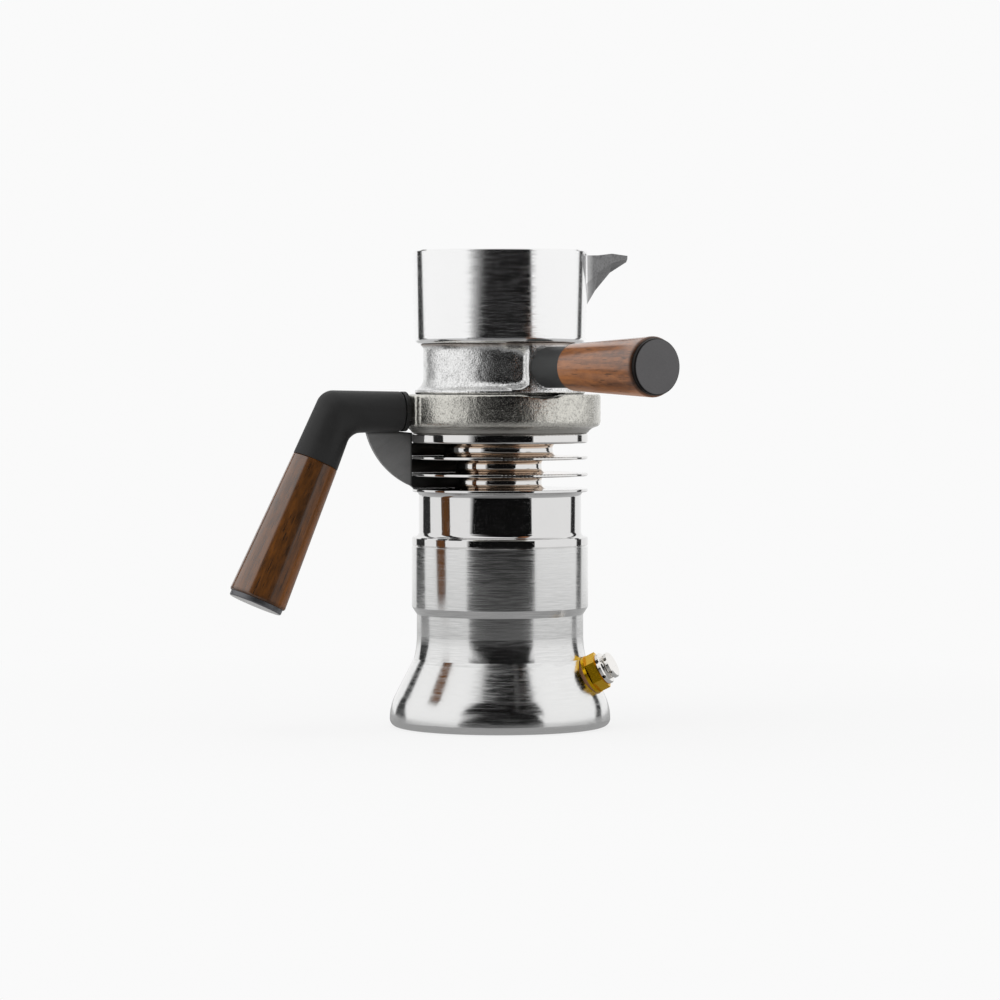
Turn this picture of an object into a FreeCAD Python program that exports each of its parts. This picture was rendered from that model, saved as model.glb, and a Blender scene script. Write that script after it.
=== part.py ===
import FreeCAD, Part

import math
import os
import re

import Sketcher

# A stovetop espresso maker that stands on its flared lower boiler. +Z is up, and the origin is the
# middle of the face that rests on the hob. All sizes are millimetres and degrees.
# The driving dimensions come first, then the helpers, and then one section for each sub-part.

SIZES = {
    # Cuts reach this far past a face, so that no skin is left
    "cut_past": 3.0,
    # Lower boiler: flared foot, waist, chamfer and threaded collar
    "foot_flare": 12.6,
    "foot_round": 3.5,
    "belly_curve": 24.7,
    "flare_angle": 27.0,
    "waist_curve": 45.0,
    "waist_flare": 1.25,
    "waist_inset": 8.0,
    "collar_length": 32.0,
    "collar_step": 2.25,
    "collar_chamfer": 3.5,
    "seam_height": 84.0,
    "edge_break": 0.5,
    "boiler_wall": 4.2,
    "boiler_floor": 6.0,
    "floor_corner": 3.0,
    "collar_wall": 4.25,
    "thread_length": 10.0,
    "thread_gap": 0.3,
    # Relief valve on the flare
    "relief_turn": -17.0,
    "relief_seat_depth": 1.1,
    "relief_seat_rise": 9.2,
    "relief_thread": 5.0,
    "relief_thread_reach": 6.5,
    "relief_flange": 9.2,
    "relief_flange_thick": 1.4,
    "washer_thick": 1.0,
    "relief_hex": 8.9,
    "relief_hex_thick": 4.8,
    "relief_chamber": 4.2,
    "relief_floor": 1.0,
    "relief_inlet": 2.0,
    "relief_cap_radius": 7.5,
    "relief_cap_disc": 2.3,
    "relief_cap_groove": 0.8,
    "relief_cap_neck": 5.6,
    "relief_cap_spigot": 2.3,
    "relief_cap_roof": 1.4,
    "relief_cap_shell": 1.4,
    "vent_radius": 0.85,
    "vent_count": 6,
    "plunger_stem": 1.3,
    "plunger_head": 6.2,
    "plunger_head_thick": 2.3,
    "pull_hole": 0.7,
    "plunger_collar_thick": 1.0,
    "head_gap": 0.5,
    "relief_seal_thick": 1.2,
    "relief_wire": 0.7,
    "relief_spring_turns": 5,
    "relief_spring_gap": 0.1,
    # Upper boiler: lip, polished wall, lowest fin
    "gasket_width": 2.0,
    "gasket_thick": 1.4,
    "gasket_fit": 0.1,
    "lip_thick": 3.9,
    "lip_curve": 2.4,
    "bell_step": 3.2,
    "bell_wall": 3.6,
    "skirt_wall": 3.0,
    "roof_thick": 6.5,
    "roof_curve": 6.0,
    "fin_step": 0.15,
    "fin_thick": 1.4,
    "fin_edge": 0.4,
    "bell_fillet": 2.0,
    "bell_height": 26.2,
    # Heat sink spool
    "core_step": 5.2,
    "neck_core_over": 0.5,
    "core_fillet": 2.4,
    "fin_one_rise": 5.9,
    "fin_two_rise": 13.7,
    "top_ring_rise": 21.1,
    "top_ring_thick": 4.6,
    "top_ring_edge": 0.9,
    "channel_radius": 2.5,
    "dish_inset": 2.0,
    "dish_depth": 1.5,
    # Pressure valve inside the upper boiler
    "valve_neck_radius": 8.0,
    "valve_neck_reach": 8.0,
    "valve_flange": 14.0,
    "valve_flange_thick": 3.0,
    "valve_gasket_thick": 1.0,
    "valve_gasket_inset": 1.0,
    "valve_hex": 12.0,
    "valve_hex_length": 22.0,
    "valve_bore": 6.0,
    "valve_fit": 0.15,
    "seat_thick": 3.0,
    "seat_hole": 2.2,
    "poppet_radius": 4.4,
    "poppet_thick": 2.5,
    "poppet_stem": 1.6,
    "poppet_stem_length": 7.0,
    "valve_wire": 1.1,
    "valve_spring_turns": 6,
    "valve_spring_gap": 0.3,
    "retainer_thick": 3.5,
    "retainer_slot": 1.2,
    "tube_radius": 3.0,
    "tube_bore": 2.2,
    "tube_floor_gap": 4.0,
    "tube_flange": 4.2,
    "tube_flange_thick": 1.0,
    "nut_hex": 6.9,
    "nut_thick": 5.0,
    "nut_spigot": 4.6,
    "nut_spigot_length": 4.0,
    # Clamp ring: cast ring with bayonet and handle lug
    "ring_wall": 5.3,
    "ring_height": 17.9,
    "ring_belly_rise": 2.8,
    "ring_belly_step": 2.6,
    "ring_corner": 2.6,
    "ring_hollow": 5.0,
    "ring_floor": 3.1,
    "ring_hole_inset": 0.6,
    "basket_clearance": 2.1,
    "ledge_thick": 4.2,
    "groove_depth": 6.6,
    "bayonet_gap": 0.4,
    "lug_proud": 0.1,
    "lug_half_width": 14.0,
    "lug_corner": 2.0,
    "lug_margin": 0.5,
    "lug_root": 4.1,
    "notch_turn": -64.0,
    "notch_curve": 40.0,
    "notch_depth": 1.3,
    "screw_circle_inset": 3.5,
    "screw_radius": 1.5,
    "screw_head": 2.7,
    "screw_head_thick": 1.2,
    "screw_length": 7.0,
    "screw_count": 6,
    "screw_fit": 0.1,
    "screw_socket": 0.8,
    "shower_overlap": 1.3,
    "shower_thick": 0.9,
    "shower_fit": 0.1,
    "hole_radius": 0.8,
    "hole_pitch": 5.4,
    "holes_per_ring": 8,
    "shower_rings": 3,
    # Filter basket and its gaskets
    "basket_radius": 29.6,
    "basket_wall": 0.8,
    "basket_depth": 18.0,
    "basket_rim_reach": 2.8,
    "basket_rim_thick": 1.0,
    "basket_rings": 4,
    "lower_gasket_width": 3.3,
    "lower_gasket_inset": 1.7,
    "lower_gasket_thick": 1.6,
    # Collector: spigot, neck, boss, cup, spout
    "spigot_step": 3.5,
    "spigot_wall": 4.6,
    "spigot_skin": 1.0,
    "spigot_reach": 9.8,
    "bayonet_reach": 2.9,
    "lug_base": 1.0,
    "lug_thick": 4.3,
    "lug_angle": 34.0,
    "slot_angle": 40.0,
    "unlock_angle": 60.0,
    "bayonet_count": 3,
    "flange_step": 1.6,
    "flange_gap": 0.4,
    "flange_thick": 1.4,
    "neck_step": 2.5,
    "neck_bottom_rise": 6.5,
    "neck_top_rise": 18.6,
    "neck_bottom_curve": 6.2,
    "neck_top_curve": 4.4,
    "cup_bottom_rise": 24.6,
    "cup_flare": 0.6,
    "cup_corner": 2.4,
    "cup_depth": 41.6,
    "cup_overhang": 5.1,
    "cup_wall": 2.2,
    "cup_floor": 5.0,
    "floor_web": 1.0,
    "cup_fillet": 5.0,
    "upper_gasket_thick": 2.4,
    "upper_gasket_width": 5.4,
    "gasket_side_gap": 0.2,
    "screen_inset": 1.8,
    "screen_thick": 1.0,
    "screen_fit": 0.2,
    "screen_rings": 4,
    "dome_inset": 2.4,
    "column_bore": 2.8,
    "column_radius": 5.0,
    "column_flange": 8.0,
    "column_flange_thick": 2.0,
    "column_length": 24.0,
    "column_fit": 0.1,
    "cap_outer": 8.5,
    "cap_reach": 6.0,
    "cap_gap": 3.0,
    "cap_crown": 5.5,
    "outlet_radius": 1.3,
    "boss_half_width": 10.6,
    "boss_root": 1.0,
    "boss_proud": 2.1,
    "boss_clearance": 0.5,
    "spout_turn": 8.0,
    "spout_wall": 1.7,
    # Share of the half width that is left at mid height, and the floor's thickness in walls
    "spout_bulge": 0.93,
    "spout_floor_share": 1.6,
    "spout_root_half": 13.0,
    "spout_root_depth": 28.5,
    "spout_waist_out": 4.0,
    "spout_waist_half": 9.2,
    "spout_waist_depth": 18.1,
    "spout_neck_out": 10.9,
    "spout_neck_half": 6.2,
    "spout_neck_depth": 9.8,
    "spout_tip_out": 18.7,
    "spout_tip_half": 3.2,
    "spout_tip_depth": 4.8,
    "spout_root_drop": 2.2,
    "spout_waist_drop": 2.0,
    "spout_neck_drop": 1.1,
    "spout_tip_drop": 2.0,
    # Collector handle
    "collector_turn": -55.0,
    "collector_axis_rise": 12.4,
    "ferrule_radius": 9.4,
    "ferrule_length": 22.0,
    "ferrule_edge": 0.6,
    "collector_grip_length": 58.0,
    "collector_rod_depth": 7.1,
    # Main handle
    "handle_turn": 201.0,
    "handle_axis_drop": 7.8,
    "arm_root_radius": 9.15,
    "arm_bend_radius": 9.85,
    "arm_length": 31.2,
    "leg_tilt": 24.0,
    "leg_length": 24.9,
    "leg_end_radius": 10.75,
    "stud_radius": 4.0,
    "stud_length": 22.0,
    "stud_fit": 0.1,
    "main_grip_length": 68.4,
    "main_rod_root": 9.0,
    # Grips and their rods and caps, shared by both handles
    "grip_small_radius": 10.75,
    "grip_large_radius": 13.4,
    "grip_edge": 1.2,
    "grip_seam": 0.4,
    "cap_radius": 12.5,
    "cap_thick": 2.4,
    "cap_inset": 1.2,
    "cap_edge": 0.8,
    "rod_radius": 3.0,
    "rod_fit": 0.1,
    # Hand guard: plate beside the handle plane, combed round the fins
    "guard_eye_thick": 2.0,
    "guard_offset": 14.3,
    "guard_thick": 2.4,
    "guard_inner_reach": 6.0,
    "guard_centre_inset": 22.7,
    "guard_curve": 37.5,
    "guard_top_drop": 2.8,
    "guard_bridge_height": 8.0,
    "guard_fin_gap": 0.35,
}

# Relations that several pieces share, as text made of the sizes' names
CONE_SINE = "sin(flare_angle)"
CONE_COSINE = "cos(flare_angle)"
BELLY_CENTRE = "(foot_radius - belly_curve)"
BELLY_RADIUS = f"({BELLY_CENTRE} + belly_curve * {CONE_COSINE})"
BELLY_HEIGHT = f"(foot_round + belly_curve * {CONE_SINE})"
ARM_ROOT = "(lug_reach + guard_eye_thick)"

# Sizes that follow from others, so that pieces that meet keep together
RELATIONS = {
    "basket_rim": "basket_radius + basket_rim_reach",
    "basket_chamber": "basket_rim + basket_clearance",
    "lower_gasket_out": "basket_radius - lower_gasket_inset",
    "lower_gasket_in": "lower_gasket_out - lower_gasket_width",
    "ring_hole": "lower_gasket_in - ring_hole_inset",
    "shower_radius": "ring_hole + shower_overlap",
    "screw_circle": "basket_chamber - screw_circle_inset",
    "spigot_radius": "basket_chamber + spigot_step",
    "ring_radius": "lug_out + bayonet_gap + ring_wall",
    "flange_radius": "spigot_radius + flange_step",
    "neck_radius": "spigot_radius - neck_step",
    "cup_radius": "neck_radius + cup_overhang",
    "waist_radius": "ring_radius - waist_inset",
    "foot_radius": "waist_radius + foot_flare",
    "relief_tilt": "flare_angle",
    "neck_core_radius": "ring_hole + neck_core_over",
    "core_radius": "neck_core_radius - core_step",
    "dish_radius": "ring_hole - dish_inset",
    "waist_top": "seam_height - collar_length",
    "collar_radius": "waist_radius + collar_step",
    "thread_radius": "collar_radius - collar_wall - thread_gap",
    "relief_seat_height": f"{BELLY_HEIGHT} + relief_seat_rise",
    "relief_seat_radius": f"{BELLY_RADIUS} - relief_seat_rise * tan(flare_angle) - relief_seat_depth",
    "bell_radius": "collar_radius - bell_step",
    "fin_radius": "collar_radius - fin_step",
    "top_ring_radius": "fin_radius",
    "roof_height": "seam_height + bell_height",
    "fin_one_height": "roof_height + fin_one_rise",
    "fin_two_height": "roof_height + fin_two_rise",
    "top_ring_height": "roof_height + top_ring_rise",
    "spool_height": "top_ring_height + top_ring_thick",
    "ring_top": "spool_height + ring_height",
    "ring_belly": "spool_height + ring_belly_rise",
    "ring_belly_radius": "ring_radius - ring_belly_step",
    "lug_reach": "ring_radius + lug_proud",
    "spigot_bore": "spigot_radius - spigot_wall",
    "spigot_bottom": "ring_top - spigot_reach",
    "lug_out": "spigot_radius + bayonet_reach",
    "neck_bottom": "ring_top + neck_bottom_rise",
    "neck_top": "ring_top + neck_top_rise",
    "cup_bottom": "ring_top + cup_bottom_rise",
    "cup_bottom_radius": "cup_radius - cup_flare",
    "cup_height": "cup_bottom + cup_depth",
    "upper_gasket_in": "spigot_bore - gasket_side_gap - upper_gasket_width",
    "screen_radius": "spigot_bore - screen_inset - screen_fit",
    "dome_radius": "screen_radius - dome_inset",
    "boss_face": "neck_radius + boss_proud",
    "spout_root_reach": "cup_radius - cup_wall",
    "spout_waist_reach": "cup_radius + spout_waist_out",
    "spout_neck_reach": "cup_radius + spout_neck_out",
    "spout_tip_reach": "cup_radius + spout_tip_out",
    "spout_root_low": "cup_height - spout_root_depth",
    "spout_waist_low": "cup_height - spout_waist_depth",
    "spout_neck_low": "cup_height - spout_neck_depth",
    "spout_tip_low": "cup_height - spout_tip_depth",
    "collector_axis_height": "ring_top + collector_axis_rise",
    "collector_rod_root": "boss_face - collector_rod_depth",
    "handle_axis_height": "ring_top - handle_axis_drop",
    "bend_reach": f"{ARM_ROOT} + arm_length",
    "guard_top": "ring_top - guard_top_drop",
    "guard_centre_reach": "lug_reach - guard_centre_inset",
}

FLARE_TOP_RADIUS = "(waist_radius + waist_flare)"
FLARE_TOP = f"({BELLY_HEIGHT} + ({BELLY_RADIUS} - {FLARE_TOP_RADIUS}) / tan(flare_angle))"
WAIST_HEIGHT = f"({FLARE_TOP} + sqrt(waist_flare * (2 * waist_curve - waist_flare)))"
THREAD_BORE = "(thread_radius + thread_gap)"
SKIRT_BOTTOM = "(seam_height - thread_length)"
LIP_TOP = "(seam_height + lip_thick)"
RING_BASE = "spool_height"
RING_FLOOR = "(spool_height + ring_floor)"
BASKET_BOTTOM = f"({RING_FLOOR} + lower_gasket_thick)"
BASKET_TOP = f"({BASKET_BOTTOM} + basket_depth)"
UPPER_GASKET_TOP = f"({BASKET_TOP} + upper_gasket_thick)"
SCREEN_TOP = f"({UPPER_GASKET_TOP} + screen_thick)"
GROOVE_TOP = "(ring_top - ledge_thick)"
GROOVE_BOTTOM = f"({GROOVE_TOP} - groove_depth)"
FLANGE_BOTTOM = "(ring_top + flange_gap)"
CUP_FLOOR_TOP = "(cup_bottom + edge_break)"
CUP_FLOOR_BOTTOM = f"({CUP_FLOOR_TOP} - cup_floor)"
FERRULE_END = "(boss_face + ferrule_length)"
COLLECTOR_GRIP_END = f"({FERRULE_END} + collector_grip_length)"
MAIN_GRIP_END = "(leg_length + main_grip_length)"
VALVE_ROOF = "(roof_height - roof_thick)"
VALVE_FLANGE_TOP = f"({VALVE_ROOF} - valve_gasket_thick)"
VALVE_FLANGE_BOTTOM = f"({VALVE_FLANGE_TOP} - valve_flange_thick)"
VALVE_BOTTOM = f"({VALVE_FLANGE_BOTTOM} - valve_hex_length)"
SEAT_BOTTOM = f"({VALVE_BOTTOM} + nut_spigot_length + tube_flange_thick)"
SEAT_TOP = f"({SEAT_BOTTOM} + seat_thick)"
POPPET_TOP = f"({SEAT_TOP} + poppet_thick)"
VALVE_NECK_TOP = "(roof_height + valve_neck_reach)"
RETAINER_BOTTOM = f"({VALVE_NECK_TOP} - retainer_thick)"
RELIEF_BODY_TOP = "(washer_thick + relief_flange_thick + relief_hex_thick)"
RELIEF_FLOOR = "(-relief_floor)"
RELIEF_CAP_TOP = f"({RELIEF_BODY_TOP} + relief_cap_disc + relief_cap_groove)"
RELIEF_SEAL_TOP = f"({RELIEF_FLOOR} + relief_seal_thick)"
RELIEF_COLLAR_TOP = f"({RELIEF_SEAL_TOP} + plunger_collar_thick)"
RELIEF_CAP_INSIDE = f"({RELIEF_CAP_TOP} - relief_cap_roof)"
HEAD_BOTTOM = f"({RELIEF_CAP_TOP} + head_gap)"
GROOVE_RADIUS = "(lug_out + bayonet_gap)"
COLUMN_TOP = f"({CUP_FLOOR_TOP} + column_length)"
MITRE_TURN = "(90 - leg_tilt) / 2"
GUARD_BOTTOM = "(roof_height + 2 * guard_fin_gap)"

WORD = re.compile(r"[a-z]+(?:_[a-z]+)*")
SUB_PARTS = []

doc = FreeCAD.newDocument("EspressoMaker")
sheet = doc.addObject("Spreadsheet::Sheet", "Sizes")
for row, (alias, size) in enumerate(SIZES.items(), start=1):
    sheet.set(f"A{row}", str(size))
    sheet.setAlias(f"A{row}", alias)
doc.recompute()


def linked(expression):
    """The expression with every relation written out and every size's name pointing at its cell."""
    def cell(match):
        word = match.group()
        if word in RELATIONS:
            return f"({linked(RELATIONS[word])})"
        return f"Sizes.{word}" if word in SIZES else word
    return WORD.sub(cell, str(expression))


def number(expression):
    return float(sheet.evalExpression(linked(expression)))


def bind(item, name, expression):
    item.setExpression(name, linked(expression))


def place(item, x="0", y="0", z="0", yaw="0", pitch="0", roll="0"):
    """Bind an object's placement: a point, then turns about Z, Y and X."""
    spot = f"vector({x}; {y}; {z})"
    turn = f"rotation({yaw}; {pitch}; {roll})"
    bind(item, "Placement", f"placement({spot}; {turn})")


def sub_part(item, label):
    """Name the finished object of one sub-part."""
    item.Label = label
    SUB_PARTS.append(item)
    return item


def new_body(name):
    return doc.addObject("PartDesign::Body", name)


def plane_of(body, role):
    for feature in body.Origin.OriginFeatures:
        if feature.Role == role:
            return feature
    raise ValueError(role)


def new_sketch(body, name, role, offset=None):
    """A sketch on one of the body's own origin planes, moved along its normal by offset."""
    sketch = body.newObject("Sketcher::SketchObject", name)
    sketch.AttachmentSupport = (plane_of(body, role), [""])
    sketch.MapMode = "FlatFace"
    if offset is not None:
        bind(sketch, "AttachmentOffset", f"placement(vector(0; 0; {offset}); rotation(0; 0; 0))")
    return sketch


def pin_point(sketch, edge, position, x, y):
    """Bind a sketch point's two coordinates."""
    for kind, axis, expression in (("DistanceX", -2, x), ("DistanceY", -1, y)):
        if expression == "0":
            sketch.addConstraint(Sketcher.Constraint("PointOnObject", edge, position, axis))
            continue
        rule = Sketcher.Constraint(kind, edge, position, number(expression))
        index = sketch.addConstraint(rule)
        bind(sketch, f"Constraints[{index}]", expression)


def bind_radius(sketch, edge, radius):
    index = sketch.addConstraint(Sketcher.Constraint("Radius", edge, number(radius)))
    bind(sketch, f"Constraints[{index}]", radius)


def draw_outline(sketch, corners):
    """Draw a closed outline, counter-clockwise.

    A corner is (x, y), followed by a straight edge, or (x, y, radius, side), followed by an arc
    whose centre lies to the "left" or "right" of the way to the next corner.
    """
    spots = [FreeCAD.Vector(number(corner[0]), number(corner[1]), 0) for corner in corners]
    edges = []
    for index, corner in enumerate(corners):
        start = spots[index]
        end = spots[(index + 1) % len(corners)]
        if len(corner) == 2:
            edges.append((sketch.addGeometry(Part.LineSegment(start, end), False), 1, 2))
            continue
        radius = number(corner[2])
        left = corner[3] == "left"
        chord = end - start
        rise = math.sqrt(max(radius ** 2 - (chord.Length / 2) ** 2, 0))
        across = FreeCAD.Vector(-chord.y, chord.x, 0).normalize()
        centre = (start + end) * 0.5 + across * (rise if left else -rise)
        first, last = (start, end) if left else (end, start)
        begin = math.atan2(first.y - centre.y, first.x - centre.x)
        finish = math.atan2(last.y - centre.y, last.x - centre.x)
        circle = Part.Circle(centre, FreeCAD.Vector(0, 0, 1), radius)
        arc = sketch.addGeometry(Part.ArcOfCircle(circle, begin, finish), False)
        edges.append((arc, 1, 2) if left else (arc, 2, 1))
    for index, (edge, start, _) in enumerate(edges):
        before, _, end = edges[index - 1]
        sketch.addConstraint(Sketcher.Constraint("Coincident", before, end, edge, start))
        pin_point(sketch, edge, start, corners[index][0], corners[index][1])
    for corner, (edge, _, _) in zip(corners, edges):
        if len(corner) > 2:
            bind_radius(sketch, edge, corner[2])


def draw_circle(sketch, x, y, radius):
    centre = FreeCAD.Vector(number(x), number(y), 0)
    circle = Part.Circle(centre, FreeCAD.Vector(0, 0, 1), number(radius))
    edge = sketch.addGeometry(circle, False)
    pin_point(sketch, edge, 3, x, y)
    bind_radius(sketch, edge, radius)


def turn_profile(body, name, corners, kind="PartDesign::Revolution"):
    """Turn an outline of (radius, height) corners about the body's Z axis."""
    sketch = new_sketch(body, f"{name}_outline", "XZ_Plane")
    draw_outline(sketch, corners)
    feature = body.newObject(kind, f"{name}_turned")
    feature.Profile = sketch
    feature.ReferenceAxis = (sketch, ["V_Axis"])
    feature.Angle = 360
    return feature


def turned_part(label, corners):
    """A sub-part that is one turned solid."""
    body = new_body(f"{label}_body")
    turn_profile(body, label, corners)
    return sub_part(body, label)


def ring_part(label, inner, outer, bottom, top):
    return turned_part(label, [(inner, bottom), (outer, bottom), (outer, top), (inner, top)])


def hexagon(radius, turn="0"):
    return [(f"{radius} * cos({60 * side} + {turn})", f"{radius} * sin({60 * side} + {turn})")
            for side in range(6)]


def pad_outline(body, name, corners, bottom, height):
    sketch = new_sketch(body, f"{name}_outline", "XY_Plane", bottom)
    draw_outline(sketch, corners)
    pad = body.newObject("PartDesign::Pad", f"{name}_pad")
    pad.Profile = sketch
    bind(pad, "Length", height)
    return pad


def hole_ring(body, name, circle, radius, bottom, height, count):
    """A ring of through holes: one pocket and a polar pattern of it."""
    sketch = new_sketch(body, f"{name}_hole", "XY_Plane", bottom)
    draw_circle(sketch, circle, "0", radius)
    pocket = body.newObject("PartDesign::Pocket", f"{name}_pocket")
    pocket.Profile = sketch
    pocket.Reversed = True
    bind(pocket, "Length", height)
    pattern = body.newObject("PartDesign::PolarPattern", f"{name}_ring")
    pattern.Originals = [pocket]
    pattern.Axis = (sketch, ["N_Axis"])
    pattern.Angle = 360
    bind(pattern, "Occurrences", count)
    body.Tip = pattern


def screen_holes(body, name, bottom, thickness):
    """Rings of small holes, each ring one pitch wider than the last and with more holes."""
    for ring in range(1, int(number(f"{name}_rings")) + 1):
        hole_ring(body, f"{name}_{ring}", f"{ring} * hole_pitch", "hole_radius", bottom, thickness,
                  f"{ring} * holes_per_ring")


def cylinder(name, radius, height, **where):
    rod = doc.addObject("Part::Cylinder", name)
    bind(rod, "Radius", radius)
    bind(rod, "Height", height)
    place(rod, **where)
    return rod


def box(name, length, width, height, **where):
    block = doc.addObject("Part::Box", name)
    bind(block, "Length", length)
    bind(block, "Width", width)
    bind(block, "Height", height)
    place(block, **where)
    return block


def cut(name, base, tool, refine=True):
    """One shape less another. Refining joins faces that lie in one plane."""
    item = doc.addObject("Part::Cut", name)
    item.Base = base
    item.Tool = tool
    item.Refine = refine
    return item


def fuse(name, shapes):
    item = doc.addObject("Part::MultiFuse", name)
    item.Shapes = shapes
    item.Refine = True
    return item


def common(name, shapes):
    item = doc.addObject("Part::MultiCommon", name)
    item.Shapes = shapes
    return item


def coil_spring(label, radius, wire, height, turns, **where):
    """A coil spring: a round wire swept along a helix, standing on local z = 0 at its wire's edge."""
    helix = doc.addObject("Part::Helix", f"{label}_helix")
    bind(helix, "Radius", radius)
    bind(helix, "Height", f"{height} - {wire}")
    bind(helix, "Pitch", f"({height} - {wire}) / {turns}")
    place(helix, z=f"{wire} / 2")
    section = doc.addObject("Part::Circle", f"{label}_wire")
    bind(section, "Radius", f"{wire} / 2")
    place(section, x=radius, z=f"{wire} / 2", roll="90")
    sweep = doc.addObject("Part::Sweep", f"{label}_sweep")
    sweep.Sections = [section]
    sweep.Spine = (helix, ["Edge1"])
    sweep.Solid = True
    sweep.Frenet = True
    place(sweep, **where)
    return sub_part(sweep, label)


# Frames of the slanted pieces, as the keyword arguments of place()

RELIEF_FRAME = {
    "x": "relief_seat_radius * cos(relief_turn)",
    "y": "relief_seat_radius * sin(relief_turn)",
    "z": "relief_seat_height",
    "yaw": "relief_turn",
    "pitch": "90 - relief_tilt",
}
COLLECTOR_FRAME = {"z": "collector_axis_height", "yaw": "collector_turn", "pitch": "90"}
ARM_FRAME = {"z": "handle_axis_height", "yaw": "handle_turn", "pitch": "90"}
LEG_FRAME = {
    "x": "bend_reach * cos(handle_turn)",
    "y": "bend_reach * sin(handle_turn)",
    "z": "handle_axis_height",
    "yaw": "handle_turn",
    "pitch": "180 - leg_tilt",
}
HANDLE_PLANE = {"yaw": "handle_turn"}


def along(frame, distance):
    """A frame moved along its own axis by a distance."""
    moved = dict(frame)
    tilt = frame["pitch"]
    moved["x"] = f"{frame.get('x', '0')} + ({distance}) * sin({tilt}) * cos({frame['yaw']})"
    moved["y"] = f"{frame.get('y', '0')} + ({distance}) * sin({tilt}) * sin({frame['yaw']})"
    moved["z"] = f"{frame.get('z', '0')} + ({distance}) * cos({tilt})"
    return moved


# Lower boiler

boiler_profile = [
    ("0", "0"),
    ("foot_radius - foot_round", "0", "foot_round", "left"),
    ("foot_radius", "foot_round", "belly_curve", "left"),
    (BELLY_RADIUS, BELLY_HEIGHT),
    (FLARE_TOP_RADIUS, FLARE_TOP, "waist_curve", "right"),
    ("waist_radius", WAIST_HEIGHT),
    ("waist_radius", "waist_top"),
    ("collar_radius", "waist_top + collar_chamfer"),
    ("collar_radius", "seam_height - edge_break"),
    ("collar_radius - edge_break", "seam_height"),
    (f"{THREAD_BORE} + gasket_width", "seam_height"),
    (f"{THREAD_BORE} + gasket_width", "seam_height - gasket_thick"),
    (THREAD_BORE, "seam_height - gasket_thick"),
    (THREAD_BORE, f"{SKIRT_BOTTOM} - edge_break"),
    ("waist_radius - boiler_wall", f"{SKIRT_BOTTOM} - thread_gap - boiler_wall"),
    ("waist_radius - boiler_wall", WAIST_HEIGHT),
    (f"{FLARE_TOP_RADIUS} - boiler_wall / {CONE_COSINE}", FLARE_TOP),
    (f"{BELLY_RADIUS} - boiler_wall * {CONE_COSINE}", f"{BELLY_HEIGHT} - boiler_wall * {CONE_SINE}",
     "belly_curve - boiler_wall", "right"),
    (f"{BELLY_CENTRE} + sqrt((belly_curve - boiler_wall) ^ 2"
     " - (boiler_floor + floor_corner - foot_round) ^ 2)", "boiler_floor + floor_corner"),
    (f"{BELLY_CENTRE} + sqrt((belly_curve - boiler_wall) ^ 2"
     " - (boiler_floor + floor_corner - foot_round) ^ 2) - floor_corner", "boiler_floor"),
    ("0", "boiler_floor"),
]
boiler_body = new_body("lower_boiler_body")
turn_profile(boiler_body, "lower_boiler", boiler_profile)
relief_hole = cylinder("relief_hole", "relief_thread + valve_fit", "2 * relief_thread_reach",
                       **along(RELIEF_FRAME, "-relief_thread_reach"))
spot_face = cylinder("relief_spot_face", "relief_flange + valve_fit", "relief_thread_reach",
                     **RELIEF_FRAME)
relief_cutters = fuse("relief_cutters", [relief_hole, spot_face])
sub_part(cut("lower_boiler_cut", boiler_body, relief_cutters), "lower_boiler")


# Relief valve: modelled upright, with its seat at z = 0, then tilted onto the flare

def relief_part(label, corners):
    part = turned_part(label, corners)
    place(part, **RELIEF_FRAME)
    return part


relief_part("relief_valve_washer", [
    ("relief_thread + valve_fit", "0"),
    ("relief_flange", "0"),
    ("relief_flange", "washer_thick"),
    ("relief_thread + valve_fit", "washer_thick"),
])

relief_body = new_body("relief_valve_body_body")
pad_outline(relief_body, "relief_hexagon", hexagon("relief_hex"),
            "washer_thick + relief_flange_thick", "relief_hex_thick")
turn_profile(relief_body, "relief_shank", [
    ("0", "-relief_thread_reach"),
    ("relief_thread", "-relief_thread_reach"),
    ("relief_thread", "washer_thick"),
    ("relief_flange", "washer_thick"),
    ("relief_flange", "washer_thick + relief_flange_thick"),
    ("0", "washer_thick + relief_flange_thick"),
])
turn_profile(relief_body, "relief_bore", [
    ("0", "-relief_thread_reach - cut_past"),
    ("relief_inlet", "-relief_thread_reach - cut_past"),
    ("relief_inlet", RELIEF_FLOOR),
    ("relief_chamber", RELIEF_FLOOR),
    ("relief_chamber", f"{RELIEF_BODY_TOP} + cut_past"),
    ("0", f"{RELIEF_BODY_TOP} + cut_past"),
], "PartDesign::Groove")
place(relief_body, **RELIEF_FRAME)
sub_part(relief_body, "relief_valve_body")


def hole_star(body, name, height, radius, depth, count):
    """Round holes drilled into a body from its rim, evenly round the Z axis."""
    drill = new_sketch(body, name, "YZ_Plane")
    draw_circle(drill, "0", height, radius)
    hole = body.newObject("PartDesign::Pocket", f"{name}_pocket")
    hole.Profile = drill
    hole.Reversed = True
    bind(hole, "Length", depth)
    star = body.newObject("PartDesign::PolarPattern", f"{name}_ring")
    star.Originals = [hole]
    star.Axis = (drill, ["V_Axis"])
    star.Angle = 360
    bind(star, "Occurrences", count)
    body.Tip = star


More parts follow.
